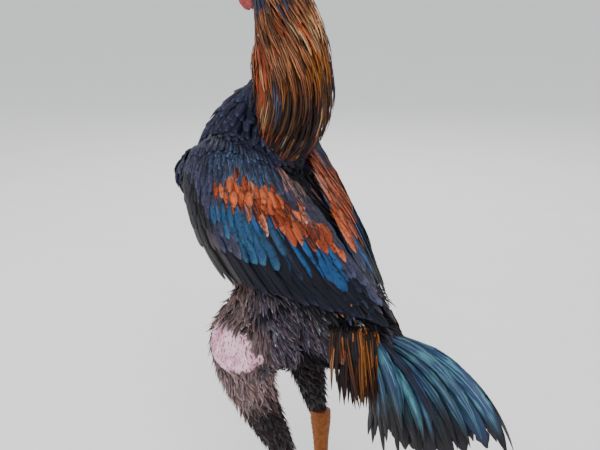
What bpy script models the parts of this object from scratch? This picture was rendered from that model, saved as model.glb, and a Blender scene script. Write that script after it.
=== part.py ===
"""A Malay cock, life size, standing still: head held high, wings let down like a cape, tail drooping."""

import math
import random
from collections import namedtuple

import bmesh
import bpy
import numpy as np
from mathutils import Quaternion, Vector

# Sizes are in metres. While the bird is modelled x runs forward, y to its left and z up from the floor.
GAP = 0.0003  # air left between two pieces that touch
dice = random.Random(7)

# The torso runs from the crop down to the root of the tail.
Station = namedtuple("Station", "x y z top bottom side")
UP = Vector((0, 0, 1))
BACK = Vector((-1, 0, 0))
BACK_AND_UP = Vector((-0.7, 0, 0.7))
LEFT = Vector((0, 1, 0))

TORSO = [
    Station(0.088, 0, 0.654, 0.024, 0.020, 0.028),
    Station(0.096, 0, 0.620, 0.044, 0.040, 0.054),
    Station(0.083, 0, 0.562, 0.062, 0.074, 0.080),
    Station(0.045, 0, 0.502, 0.068, 0.092, 0.094),
    Station(-0.003, 0, 0.448, 0.062, 0.098, 0.094),
    Station(-0.055, 0, 0.405, 0.050, 0.112, 0.080),
    Station(-0.105, 0, 0.374, 0.036, 0.098, 0.058),
    Station(-0.148, 0, 0.353, 0.022, 0.048, 0.032),
    Station(-0.160, 0, 0.347, 0.010, 0.016, 0.012),
]
# The outer face of the folded wings, on the torso's own centre line.
WING_SHELL = [
    Station(0.110, 0, 0.638, 0.034, 0.060, 0.056),
    Station(0.101, 0, 0.614, 0.052, 0.090, 0.094),
    Station(0.083, 0, 0.562, 0.072, 0.116, 0.120),
    Station(0.045, 0, 0.502, 0.078, 0.126, 0.128),
    Station(-0.003, 0, 0.448, 0.076, 0.126, 0.121),
    Station(-0.055, 0, 0.405, 0.066, 0.106, 0.104),
    Station(-0.105, 0, 0.374, 0.055, 0.078, 0.076),
    Station(-0.148, 0, 0.353, 0.046, 0.055, 0.046),
    Station(-0.160, 0, 0.347, 0.042, 0.050, 0.040),
]
# The neck with its hackle, from its foot on the back up to the nape.
HACKLE = [
    Station(0.022, 0, 0.556, 0.024, 0.034, 0.030),
    Station(0.014, 0, 0.580, 0.030, 0.034, 0.030),
    Station(0.006, 0, 0.605, 0.046, 0.046, 0.040),
    Station(-0.002, 0, 0.645, 0.056, 0.056, 0.049),
    Station(0.002, 0, 0.690, 0.058, 0.058, 0.050),
    Station(0.010, 0, 0.727, 0.055, 0.054, 0.047),
    Station(0.024, 0, 0.770, 0.047, 0.044, 0.038),
    Station(0.034, 0, 0.800, 0.038, 0.030, 0.028),
    Station(0.040, 0, 0.822, 0.026, 0.012, 0.018),
]
# The neck under its hackle.
NECK = [
    Station(0.030, 0, 0.556, 0.032, 0.036, 0.031),
    Station(0.016, 0, 0.600, 0.034, 0.034, 0.031),
    Station(0.006, 0, 0.650, 0.035, 0.034, 0.031),
    Station(0.008, 0, 0.700, 0.035, 0.033, 0.030),
    Station(0.020, 0, 0.750, 0.031, 0.029, 0.026),
    Station(0.034, 0, 0.790, 0.024, 0.020, 0.020),
    Station(0.041, 0, 0.814, 0.018, 0.010, 0.015),
]
HEAD = [
    Station(0.020, 0, 0.814, 0.010, 0.012, 0.009),
    Station(0.027, 0, 0.815, 0.020, 0.022, 0.0175),
    Station(0.041, 0, 0.817, 0.0265, 0.027, 0.0225),
    Station(0.056, 0, 0.818, 0.0265, 0.026, 0.0235),
    Station(0.069, 0, 0.817, 0.024, 0.0245, 0.0215),
    Station(0.081, 0, 0.813, 0.0185, 0.020, 0.0175),
    Station(0.091, 0, 0.808, 0.0130, 0.0145, 0.0125),
    Station(0.095, 0, 0.806, 0.0080, 0.0090, 0.0080),
]
THROAT = [
    Station(0.058, 0, 0.806, 0.020, 0.022, 0.018),
    Station(0.060, 0, 0.786, 0.020, 0.020, 0.016),
    Station(0.060, 0, 0.766, 0.018, 0.019, 0.013),
    Station(0.060, 0, 0.750, 0.010, 0.012, 0.007),
]
DEWLAP = [
    Station(0.088, 0, 0.800, 0.006, 0.006, 0.004),
    Station(0.088, 0, 0.786, 0.012, 0.010, 0.0045),
    Station(0.086, 0, 0.770, 0.014, 0.012, 0.0040),
    Station(0.080, 0, 0.756, 0.010, 0.008, 0.0030),
    Station(0.074, 0, 0.748, 0.004, 0.003, 0.0018),
]
BEAK_UPPER = [
    Station(0.083, 0, 0.8105, 0.0090, 0.0040, 0.0090),
    Station(0.096, 0, 0.8115, 0.0090, 0.0045, 0.0086),
    Station(0.107, 0, 0.8090, 0.0080, 0.0048, 0.0072),
    Station(0.1155, 0, 0.8045, 0.0056, 0.0044, 0.0050),
    Station(0.1212, 0, 0.7990, 0.0030, 0.0034, 0.0027),
    Station(0.1232, 0, 0.7945, 0.0010, 0.0012, 0.0009),
]
BEAK_LOWER = [
    Station(0.083, 0, 0.8030, 0.0040, 0.0070, 0.0082),
    Station(0.098, 0, 0.8030, 0.0040, 0.0064, 0.0072),
    Station(0.109, 0, 0.8010, 0.0038, 0.0050, 0.0054),
    Station(0.1165, 0, 0.7985, 0.0020, 0.0024, 0.0024),
]

EYE_AT = Vector((0.0705, 0.0165, 0.8190))
EYE_RADIUS = 0.0068
LID_RADIUS = 0.0056
LID_THICK = 0.0016
LID_OUT = 0.62  # how far out on the eyeball its lids lie, as a share of its radius
BROW_FROM_EYE = Vector((-0.0010, 0.0005, 0.0092))
BROW_HALF = (0.0130, 0.0060, 0.0040)
EAR_AT = Vector((0.0420, 0.0245, 0.8130))
EAR_HALF = (0.0030, 0.0030, 0.0022)
NOSTRIL_AT = Vector((0.1010, 0.0083, 0.8135))
NOSTRIL_HALF = (0.0022, 0.0016, 0.0009)
COMB_AT = Vector((0.0760, 0, 0.8375))
COMB_HALF = Vector((0.0165, 0.0110, 0.0085))
COMB_BULBS = 11
COMB_BULB_RADIUS = 0.0039
EARLOBE_AT = Vector((0.0470, 0.0225, 0.7985))
EARLOBE_HALF = Vector((0.0065, 0.0040, 0.0085))
WATTLE_AT = Vector((0.0820, 0.0105, 0.7880))
WATTLE_HALF = Vector((0.0060, 0.0035, 0.0090))

# Each leg: how far the foot stands from the middle, and how far the hock is ahead of the bird's zero.
LEG_OUT = {"left": 0.076, "right": 0.064}
KNEE_AHEAD = {"left": 0.078, "right": 0.052}
HOCK_X = {"left": -0.060, "right": 0.002}
HOCK_Z = 0.163
SHANK_HALF = 0.0118
SHANK_SIDE = 0.0100
SHANK_SCUTES = 9
SCUTE_RISE = 0.0009
# The shank swells by this much at its hock and at its foot, over this share of its length.
HOCK_KNOB = 0.0032
FOOT_KNOB = 0.0016
KNOB_SHARE = 0.10
FOOT_Z = 0.0125
SOLE_HALF = (0.0175, 0.0145, 0.0125)
TOE_RADIUS = 0.0078
# Toes: name, turn from straight ahead in degrees (outward is positive), length.
TOES = [("inner", -34, 0.050), ("middle", 2, 0.068), ("outer", 36, 0.056), ("hind", 168, 0.028)]
CLAW_LENGTH = 0.017
CLAW_RADIUS = 0.0034
CLAW_RINGS = 4
SPUR_LENGTH = 0.024
SPUR_RADIUS = 0.0052
SPUR_Z = 0.062

FEATHER_BLACK = (0.020, 0.022, 0.030)
FEATHER_BLUE = (0.025, 0.060, 0.110)
FEATHER_MAHOGANY = (0.260, 0.085, 0.030)
FEATHER_TEAL = (0.030, 0.110, 0.120)
THIGH_BROWN = (0.070, 0.050, 0.042)
SKIN_RED = (0.420, 0.060, 0.050)
HORN_YELLOW = (0.500, 0.290, 0.100)
LEG_ORANGE = (0.480, 0.200, 0.050)
EYE_PEARL = (0.600, 0.520, 0.350)


def clear_scene():
    for obj in list(bpy.data.objects):
        bpy.data.objects.remove(obj, do_unlink=True)


def material(name, colour, roughness=0.6):
    found = bpy.data.materials.get(name)
    if found:
        return found
    made = bpy.data.materials.new(name)
    made.use_nodes = True
    shader = made.node_tree.nodes["Principled BSDF"]
    shader.inputs["Base Color"].default_value = (*colour, 1)
    shader.inputs["Roughness"].default_value = roughness
    shader.inputs["Metallic"].default_value = 0.0
    return made


def between(stations, steps):
    """The stations with more of them put in between, on a smooth curve through all."""
    rows = np.array(stations, float)
    padded = np.vstack([2 * rows[0] - rows[1], rows, 2 * rows[-1] - rows[-2]])
    found = []
    for i in range(1, len(rows)):
        a, b, c, d = padded[i - 1 : i + 3]
        for t in np.arange(steps) / steps:
            curve = 2 * b + (c - a) * t + (2 * a - 5 * b + 4 * c - d) * t**2
            found.append((curve + (3 * b - a - 3 * c + d) * t**3) / 2)
    found.append(rows[-1])
    return [Station(*row) for row in found]


def at(stations, place):
    """The station at a place counted in stations, which may lie between two of them."""
    rows = np.array(stations, float)
    padded = np.vstack([2 * rows[0] - rows[1], rows, 2 * rows[-1] - rows[-2]])
    i = min(max(int(math.floor(place)), 0), len(rows) - 2)
    t = place - i
    a, b, c, d = padded[i : i + 4]
    curve = 2 * b + (c - a) * t + (2 * a - 5 * b + 4 * c - d) * t**2
    return Station(*((curve + (3 * b - a - 3 * c + d) * t**3) / 2))


def centre(station):
    return Vector((station.x, station.y, station.z))


def frame_at(ahead, behind, dorsal):
    """The side and top directions square to the way from one station to another."""
    along = (centre(ahead) - centre(behind)).normalized()
    side = along.cross(dorsal).normalized()
    return side, side.cross(along).normalized(), along


def section_point(station, side, top, angle, grow=0.0):
    """A point of a station's rim; the angle runs from the top to the side."""
    rise = station.top if math.cos(angle) > 0 else station.bottom
    across = side * math.sin(angle) * (station.side + grow)
    return centre(station) + across + top * math.cos(angle) * (rise + grow)


def mirrored(station):
    return station._replace(y=-station.y)


def sided(place, side):
    """A point named on the left side, or its twin on the right."""
    return Vector((place.x, place.y if side == "left" else -place.y, place.z))


def closed_mesh(name, points, faces, finish=None):
    """One object with its faces pointing out."""
    mesh = bpy.data.meshes.new(name)
    mesh.from_pydata([tuple(p) for p in points], [], faces)
    shape = bmesh.new()
    shape.from_mesh(mesh)
    bmesh.ops.recalc_face_normals(shape, faces=shape.faces)
    bmesh.ops.triangulate(shape, faces=shape.faces)
    shape.to_mesh(mesh)
    shape.free()
    obj = bpy.data.objects.new(name, mesh)
    bpy.context.scene.collection.objects.link(obj)
    if finish:
        mesh.materials.append(finish)
    return obj


def loft(name, stations, dorsal, sides=16, steps=2, grow=0.0, dome=0.35, finish=None):
    """A closed tube through the stations' rims, with a low dome on each end."""
    rings = between(stations, steps)
    points, faces = [], []
    for i, ring in enumerate(rings):
        ahead, behind = rings[min(i + 1, len(rings) - 1)], rings[max(i - 1, 0)]
        side, top, along = frame_at(ahead, behind, dorsal)
        for k in range(sides):
            points.append(section_point(ring, side, top, 2 * math.pi * k / sides, grow))
        if i in (0, len(rings) - 1):
            way = along if i else -along
            size = min(ring.top, ring.bottom, ring.side) * dome + grow
            end = centre(ring) + way * size
            first = end if i == 0 else first
            last = end
    for i in range(len(rings) - 1):
        for k in range(sides):
            a, b = i * sides + k, i * sides + (k + 1) % sides
            faces.append((a, b, b + sides, a + sides))
    points += [first, last]
    foot = (len(rings) - 1) * sides
    for k in range(sides):
        after = (k + 1) % sides
        faces.append((len(points) - 2, k, after))
        faces.append((len(points) - 1, foot + k, foot + after))
    return closed_mesh(name, points, faces, finish)


def ball(name, middle, half, rings=8, sides=12, grow=0.0, finish=None):
    """A closed ellipsoid with poles up and down."""
    half = Vector(half) + Vector((grow, grow, grow))
    points = [middle + UP * half.z]
    for i in range(1, rings):
        down = math.pi * i / rings
        for k in range(sides):
            turn = 2 * math.pi * k / sides
            flat = (math.cos(turn) * math.sin(down) * half.x, math.sin(turn) * math.sin(down) * half.y)
            points.append(middle + Vector((*flat, math.cos(down) * half.z)))
    points.append(middle - UP * half.z)
    faces = []
    for k in range(sides):
        after = (k + 1) % sides
        faces.append((0, 1 + k, 1 + after))
        foot = 1 + (rings - 2) * sides
        faces.append((len(points) - 1, foot + after, foot + k))
        for i in range(rings - 2):
            a = 1 + i * sides
            faces.append((a + k, a + sides + k, a + sides + after, a + after))
    return closed_mesh(name, points, faces, finish)


def torus(name, middle, axis, radius, thick, around=10, sides=4):
    """A closed ring about an axis."""
    axis = axis.normalized()
    first = axis.orthogonal().normalized()
    second = axis.cross(first)
    points, faces = [], []
    for i in range(around):
        turn = 2 * math.pi * i / around
        out = first * math.cos(turn) + second * math.sin(turn)
        for k in range(sides):
            roll = 2 * math.pi * k / sides
            points.append(middle + out * (radius + thick * math.cos(roll)) + axis * thick * math.sin(roll))
            a, b = i * sides + k, i * sides + (k + 1) % sides
            shift = sides if i < around - 1 else sides - around * sides
            faces.append((a, b, b + shift, a + shift))
    return closed_mesh(name, points, faces)


# Half widths of a feather from its root to its tip, as shares of its widest.
LANCET = (0.60, 1.0, 0.08)
LONG_LANCET = (0.55, 1.0, 0.86, 0.08)
SHORT_ROUND = (0.60, 1.0, 0.55)
ROUND = (0.60, 1.0, 0.95, 0.40)
BLADE = (0.45, 0.85, 1.0, 0.92, 0.34)
SICKLE = (0.45, 0.90, 1.0, 0.90, 0.66, 0.06)


def vane(spine, outward, width, thick, shape, roll=0.0, grow=0.0):
    """A feather: a thin closed blade along a spine, its upper face turned outward, then rolled."""
    points, faces = [], []
    last = len(spine) - 1
    for i, (point, out) in enumerate(zip(spine, outward)):
        along = (spine[min(i + 1, last)] - spine[max(i - 1, 0)]).normalized()
        side = Quaternion(along, math.radians(roll)) @ along.cross(out).normalized()
        over = side.cross(along).normalized() * (thick / 2 + grow)
        half = side * (width / 2 * shape[i] + grow)
        points += [point - half + over, point + half + over, point + half - over, point - half - over]
        if i < last:
            a, b = 4 * i, 4 * i + 4
            # The upper and lower faces are split along the same diagonal, so that they never cross.
            faces += [(a, a + 1, b + 1), (a, b + 1, b), (a + 2, a + 3, b + 2), (a + 3, b + 3, b + 2)]
            faces += [(a + 1, a + 2, b + 1), (a + 2, b + 2, b + 1), (a + 3, a, b), (a + 3, b, b + 3)]
    end = 4 * last
    faces += [(0, 2, 1), (0, 3, 2), (end, end + 1, end + 2), (end, end + 2, end + 3)]
    return closed_mesh("vane", points, faces)


def settle(obj):
    """Turns an object's modifiers into its mesh."""
    graph = bpy.context.evaluated_depsgraph_get()
    made = bpy.data.meshes.new_from_object(obj.evaluated_get(graph))
    old = obj.data
    obj.modifiers.clear()
    obj.data = made
    bpy.data.meshes.remove(old)


def volume_share(face):
    """Six times the volume between a triangle and the origin."""
    a, b, c = (v.co for v in face.verts)
    return a.dot(b.cross(c))


def keep_largest(obj):
    """Leaves only the largest closed surface of an object."""
    shape = bmesh.new()
    shape.from_mesh(obj.data)
    bmesh.ops.triangulate(shape, faces=shape.faces)
    left, islands = set(shape.faces), []
    while left:
        reached, edge = set(), [left.pop()]
        while edge:
            face = edge.pop()
            reached.add(face)
            for other in (f for e in face.edges for f in e.link_faces if f in left):
                left.discard(other)
                edge.append(other)
        islands.append(reached)
    size = [abs(sum(volume_share(face) for face in part)) for part in islands]
    for part, volume in zip(islands, size):
        if volume < max(size):
            bmesh.ops.delete(shape, geom=list(part), context="FACES")
    loose = [v for v in shape.verts if not v.link_faces]
    bmesh.ops.delete(shape, geom=loose, context="VERTS")
    shape.to_mesh(obj.data)
    shape.free()


def combine(obj, others, operation):
    """Joins the other objects to this one, or cuts them from it, and removes them."""
    group = bpy.data.collections.new("working")
    bpy.context.scene.collection.children.link(group)
    for other in others:
        group.objects.link(other)
    boolean = obj.modifiers.new("working", "BOOLEAN")
    boolean.operation = operation
    boolean.operand_type = "COLLECTION"
    boolean.collection = group
    boolean.solver = "MANIFOLD"
    settle(obj)
    for other in others:
        bpy.data.objects.remove(other, do_unlink=True)
    bpy.data.collections.remove(group)
    keep_largest(obj)
    return obj


def fuse(obj, others):
    return combine(obj, others, "UNION")


def cut(obj, others):
    return combine(obj, others, "DIFFERENCE")


def ramp(pair, share):
    """A value that runs evenly from the first of a pair to the second."""
    return pair[0] + (pair[1] - pair[0]) * share


def on_line(line, share):
    """The place and angle at a share of the way along a line of such pairs."""
    whole = share * (len(line) - 1)
    i = min(int(whole), len(line) - 2)
    t = whole - i
    return [a + (b - a) * t for a, b in zip(line[i], line[i + 1])]


def torso_form(name, grow=0.0):
    finish = material("torso_feathers", FEATHER_BLACK)
    return loft(name, TORSO, BACK_AND_UP, sides=16, steps=2, grow=grow, dome=0.6, finish=finish)


# The saddle hackle's roots on the rump, as pairs of place and angle from the spine.
SADDLE_ROOTS = [(5.50, 84), (5.90, 72), (6.30, 60), (6.65, 50)]
SADDLE_COUNT = 8
SADDLE_LENGTH = 0.090
SADDLE_WIDTH = 0.013
SADDLE_THICK = 0.0009
# How a saddle feather goes: out from the rump, then the share of its length that it has dropped.
SADDLE_PATH = [(-0.006, 0.0), (0.007, 0.14), (0.010, 0.58), (0.007, 1.0)]
SADDLE_FALL = Vector((-0.16, 0.08, -1.0))
SADDLE_FACE = Vector((-0.35, 1.0, 0.25))


def saddle_feather(share, side, grow=0.0):
    """A long narrow feather that leaves the rump and hangs down beside it."""
    place, angle = on_line(SADDLE_ROOTS, share)
    across, top, _ = frame_at(at(TORSO, place + 0.1), at(TORSO, place - 0.1), BACK_AND_UP)
    length = SADDLE_LENGTH * (1 + 0.15 * math.sin(5 * share))
    spine = []
    for out, drop in SADDLE_PATH:
        root = section_point(at(TORSO, place), across, top, math.radians(angle), out)
        spine.append(sided(root + SADDLE_FALL * length * drop, side))
    faces = [sided(SADDLE_FACE, side)] * len(spine)
    return vane(spine, faces, SADDLE_WIDTH, SADDLE_THICK, LONG_LANCET, grow=grow)


def saddle_feathers(grow=0.0):
    shares = [i / (SADDLE_COUNT - 1) for i in range(SADDLE_COUNT)]
    return [saddle_feather(share, side, grow) for side in ("left", "right") for share in shares]


def torso():
    """The body with the saddle hackle that hangs from its rump."""
    return fuse(torso_form("torso"), saddle_feathers())


def head_pieces(grow=0.0):
    """The skull, the throat and the fold of bare skin under the beak."""
    return [
        loft("skull", HEAD, UP, sides=12, steps=2, grow=grow),
        loft("throat", THROAT, BACK, sides=10, steps=1, grow=grow),
        loft("dewlap", DEWLAP, BACK, sides=8, steps=1, grow=grow),
    ]


def eye_direction(side):
    return sided(Vector((0.22, 1.0, 0.05)), side)


def head():
    skull, *more = head_pieces()
    skull.name = "head"
    skull.data.materials.append(material("face_skin", SKIN_RED))
    for side in ("left", "right"):
        eye = sided(EYE_AT, side)
        lid = eye + eye_direction(side).normalized() * EYE_RADIUS * LID_OUT
        more.append(torus("lid", lid, eye_direction(side), LID_RADIUS, LID_THICK))
        more.append(ball("brow", eye + sided(BROW_FROM_EYE, side), BROW_HALF, rings=4, sides=8))
    fuse(skull, more)
    sockets = []
    for side in ("left", "right"):
        sockets.append(ball("socket", sided(EYE_AT, side), [EYE_RADIUS] * 3, 6, 10, GAP))
        sockets.append(ball("ear", sided(EAR_AT, side), EAR_HALF, rings=4, sides=8))
    return cut(skull, sockets)


def eyes():
    finish = material("eye", EYE_PEARL, 0.1)
    for side in ("left", "right"):
        ball("eye_" + side, sided(EYE_AT, side), [EYE_RADIUS] * 3, rings=6, sides=10, finish=finish)


def comb():
    """A low strawberry comb: a core with bulbs spread over its upper side."""
    finish = material("comb", SKIN_RED)
    core = ball("comb", COMB_AT, COMB_HALF, rings=6, sides=12, finish=finish)
    bulbs = []
    golden_turn = math.pi * (3 - math.sqrt(5))
    for i in range(COMB_BULBS):
        turn, rise = golden_turn * i, 1 - 0.85 * (i + 0.4) / COMB_BULBS
        flat = math.sqrt(1 - rise**2)
        out = Vector((math.cos(turn) * flat, math.sin(turn) * flat, rise))
        size = COMB_BULB_RADIUS * (1 + 0.15 * math.sin(3.1 * i))
        middle = COMB_AT + Vector([a * b * 0.92 for a, b in zip(out, COMB_HALF)])
        bulbs.append(ball("bulb", middle, (size, size, size), rings=4, sides=6))
    fuse(core, bulbs)
    return cut(core, head_pieces(GAP))


def small_skin(name, middle, half):
    """An earlobe or a wattle on each side, cut clear of the head and throat."""
    finish = material("wattle_skin", SKIN_RED)
    for side in ("left", "right"):
        piece = ball(name + "_" + side, sided(middle, side), half, rings=6, sides=10, finish=finish)
        cut(piece, head_pieces(GAP))


def nostril(side):
    return ball("nostril", sided(NOSTRIL_AT, side), NOSTRIL_HALF, rings=4, sides=8)


def beak():
    finish = material("beak_horn", HORN_YELLOW, 0.4)
    upper = loft("beak_upper", BEAK_UPPER, UP, sides=8, steps=2, dome=0.5, finish=finish)
    cut(upper, [*head_pieces(GAP), nostril("left"), nostril("right")])
    lower = loft("beak_lower", BEAK_LOWER, UP, sides=8, steps=2, dome=0.5, finish=finish)
    cover = loft("cover", BEAK_UPPER, UP, sides=8, steps=2, dome=0.5, grow=GAP)
    cut(lower, [*head_pieces(GAP), cover])


# The hackle hangs in rows, the lowest first, and the upper rows lie over the lower.
# Each row has a height for its roots and a count.
HACKLE_ROWS = [(0.652, 14), (0.690, 14), (0.728, 13), (0.764, 12), (0.797, 10)]
HACKLE_LENGTH = 0.074
HACKLE_WIDTH = 0.0150
HACKLE_THICK = 0.0009
HACKLE_RISE = (-0.24, 0.64, 0.95)


def row_at(stations, z):
    """The station at a height, on a neck that always climbs."""
    return at(stations, float(np.interp(z, [row.z for row in stations], range(len(stations)))))


def neck_point(z, angle, rise):
    """A point at a height; rise counts from the neck's skin, 0, to the hackle's outer face, 1."""
    found = []
    for stations in (NECK, HACKLE):
        across, top, _ = frame_at(row_at(stations, z + 0.004), row_at(stations, z - 0.004), BACK)
        found.append(section_point(row_at(stations, z), across, top, math.radians(angle)))
    return found[0].lerp(found[1], rise)


def hackle_feather(root_z, angle, length):
    spine, outward = [], []
    for i, rise in enumerate(HACKLE_RISE):
        z = root_z - length * i / (len(HACKLE_RISE) - 1)
        spine.append(neck_point(z, angle, rise))
        outward.append(neck_point(z, angle, 1.0) - neck_point(z, angle, 0.0))
    return vane(spine, outward, HACKLE_WIDTH, HACKLE_THICK, LANCET)


def neck():
    """The neck with its hackle, feather by feather."""
    finish = material("hackle", FEATHER_MAHOGANY)
    obj = loft("neck", NECK, BACK, sides=12, steps=1, finish=finish)
    feathers = []
    for row, (z, count) in enumerate(HACKLE_ROWS):
        for i in range(count):
            angle = 360 * (i + 0.5 * (row % 2)) / count
            front = max(0.0, -math.cos(math.radians(angle)))
            length = HACKLE_LENGTH * (1 - 0.30 * front) + dice.uniform(-0.004, 0.004)
            feathers.append(hackle_feather(z + dice.uniform(-0.004, 0.004), angle, length))
    fuse(obj, feathers)
    lobes = [ball("lobe", sided(EARLOBE_AT, side), EARLOBE_HALF, 6, 10, GAP) for side in ("left", "right")]
    return cut(obj, [torso_form("body", GAP), *head_pieces(GAP), *lobes])


def shell_point(place, angle, rise=0.0, side="left"):
    """A point on the wing's outer face: place along the body, angle in degrees from the spine."""
    here = at(WING_SHELL, place)
    across, top, _ = frame_at(at(WING_SHELL, place + 0.1), at(WING_SHELL, place - 0.1), BACK_AND_UP)
    point = section_point(here, across, top, math.radians(angle), rise)
    return sided(point, side)


# The feathers of a wing lie along lines that run from its head down to its foot, as pairs of place and
# angle on its face. Each line starts at one share of the way round and all rows follow the same lines.
WING_HEAD = [(1.50, 90), (1.26, 62), (1.60, 37), (2.05, 18)]
WING_FOOT = [(3.45, 127), (3.95, 111), (4.45, 95), (5.10, 76), (6.10, 51), (7.10, 22)]
WING_LINES = 10
WING_DEEP = 0.0170
WING_SHALLOW = 0.0098
# The wing's core ends at this share of its lines, and its outer face rises over the first share from a
# thin rim, then sinks again; round the wing it is lower towards both its edges.
WING_CORE_END = 0.62
WING_NOSE = 0.08
WING_RIM = 0.002
WING_EDGE_SHARES = (0.12, 0.92)
WING_ROOT_DEPTH = 0.0135
WING_ROLL = -6.5
WING_VANE_THICK = 0.0009

# A row of feathers: where it starts and ends on its line, how far it rises from the face, how wide it is
# as a share of the distance between lines, and its outline.
Row = namedtuple("Row", "name start end rise lap shape")
WING_ROWS = [
    Row("flight feathers", 0.30, 1.00, -0.0074, 0.84, BLADE),
    Row("greater coverts", 0.15, 0.68, -0.0048, 0.74, ROUND),
    Row("median coverts", 0.08, 0.43, -0.0022, 0.74, SHORT_ROUND),
    Row("lesser coverts", 0.03, 0.23, 0.0004, 0.74, SHORT_ROUND),
]


def wing_place(share, way, rise, side):
    """A point of the wing's face: share of the way round, way down its line, and rise from the face."""
    head_place, head_angle = on_line(WING_HEAD, share)
    foot_place, foot_angle = on_line(WING_FOOT, share)
    bow = 8 * math.sin(math.pi * min(way, 1)) * (1 - share)
    angle = head_angle + (foot_angle - head_angle) * way + bow
    return shell_point(head_place + (foot_place - head_place) * way, angle, rise, side)


def wing_core(side):
    """The folded wing under its feathers: a low lens on the body's side, rounded at the wrist."""
    across, down = 7, 6
    points = []
    for inner in (False, True):
        for i in range(across + 1):
            for j in range(down + 1):
                way = (j / down) ** 1.5 * WING_CORE_END
                crown = math.sqrt(min(1, way / WING_NOSE)) * math.sqrt(max(0, 1 - way / WING_CORE_END))
                crown *= math.sin(math.pi * ramp(WING_EDGE_SHARES, i / across)) ** 0.4
                rise = -WING_DEEP if inner else ramp((WING_RIM - WING_DEEP, -WING_SHALLOW), crown)
                points.append(wing_place(i / across, way, rise, side))
    size = (across + 1) * (down + 1)
    faces = []
    for i in range(across):
        for j in range(down):
            a = i * (down + 1) + j
            b, c, d = a + 1, a + down + 2, a + down + 1
            faces += [(a, b, c, d), (a + size, d + size, c + size, b + size)]
    rim = [i * (down + 1) for i in range(across)] + [across * (down + 1) + j for j in range(down)]
    rim += [i * (down + 1) + down for i in range(across, 0, -1)] + list(range(down, 0, -1))
    for a, b in zip(rim, rim[1:] + rim[:1]):
        faces.append((a, b, b + size, a + size))
    return closed_mesh("wing_" + side, points, faces, material("wing_feathers", FEATHER_BLUE))


def wing_feather(row, share, side):
    """One feather of a row, from its sunk root down its line to its tip."""
    spine, outward = [], []
    last = len(row.shape) - 1
    middle, step = (row.start + row.end) / 2, 0.5 / WING_LINES
    spacing = (wing_place(share + step, middle, 0, side) - wing_place(share - step, middle, 0, side)).length
    for i in range(last + 1):
        way = row.start + (row.end - row.start) * i / last
        rise = row.rise if i else -WING_ROOT_DEPTH
        spine.append(wing_place(share, way, rise, side))
        outward.append(wing_place(share, way, 0.002, side) - wing_place(share, way, 0, side))
    roll = WING_ROLL if side == "left" else -WING_ROLL
    return vane(spine, outward, spacing * row.lap, WING_VANE_THICK, row.shape, roll)


def wing(side):
    """The folded wing, its flight feathers and coverts in tiers like tiles."""
    obj = wing_core(side)
    shares = [(i + 0.35) / (WING_LINES - 0.3) for i in range(WING_LINES)]
    fuse(obj, [wing_feather(row, share, side) for row in WING_ROWS for share in shares])
    hackle = loft("hackle", HACKLE, BACK, sides=18, grow=GAP)
    return cut(obj, [torso_form("body", GAP), hackle, *saddle_feathers(GAP)])


TAIL_ROOT = Vector((-0.160, 0, 0.340))
TAIL_CORE_HALF = Vector((0.019, 0.021, 0.033))
TAIL_VANE_THICK = 0.0010

# A row of tail feathers on one side, with the values of its top feather and its lowest: where they are
# rooted beside and above the middle of the core, the pitch that they leave at and the one they droop to,
# how far they turn outward and how much their faces look up, all in degrees, and their lengths.
TailRow = namedtuple("TailRow", "name count out up leaves droops yaw tilt length width shape")
TAIL_ROWS = [
    TailRow("sickle", 1, (0.0028, 0.0028), (0.014, 0.014), (14, 14), (-68, -68), (1.5, 1.5), (35, 35),
            (0.232, 0.232), 0.022, SICKLE),
    TailRow("main feathers", 7, (0.0045, 0.0130), (0.010, -0.024), (4, -58), (-60, -85), (3, 18), (25, 5),
            (0.194, 0.084), 0.027, BLADE),
    TailRow("side coverts", 6, (0.0180, 0.0180), (0.016, -0.022), (-12, -67), (-68, -84), (22, 32), (20, 20),
            (0.140, 0.090), 0.016, LONG_LANCET),
]


def tail_feather(row, share, side):
    """A feather of a row that leaves the tail's core and droops along one upright plane."""
    leaves, droops = ramp(row.leaves, share), ramp(row.droops, share)
    tilt, turn = math.radians(ramp(row.tilt, share)), math.radians(ramp(row.yaw, share))
    across = Vector((math.sin(turn), math.cos(turn), 0))
    back = Vector((-math.cos(turn), math.sin(turn), 0))
    spine, outward = [], []
    point = TAIL_ROOT + Vector((0.002, ramp(row.out, share), ramp(row.up, share)))
    last = len(row.shape) - 1
    for i in range(last + 1):
        pitch = math.radians(ramp((leaves, droops), i / last))
        way = back * math.cos(pitch) + UP * math.sin(pitch)
        spine.append(sided(point, side))
        outward.append(sided(across * math.cos(tilt) + across.cross(way) * math.sin(tilt), side))
        point = point + way * (ramp(row.length, share) / last)
    return vane(spine, outward, row.width, TAIL_VANE_THICK, row.shape)


def tail():
    """The drooping tail: two sickles, the main feathers in a folded fan, and coverts along each side."""
    finish = material("tail_feathers", FEATHER_TEAL)
    obj = ball("tail", TAIL_ROOT, TAIL_CORE_HALF, rings=6, sides=10, finish=finish)
    feathers = []
    for side in ("left", "right"):
        for row in TAIL_ROWS:
            feathers += [tail_feather(row, i / max(1, row.count - 1), side) for i in range(row.count)]
    fuse(obj, feathers)
    return cut(obj, [torso_form("body", GAP), *saddle_feathers(GAP)])


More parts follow.
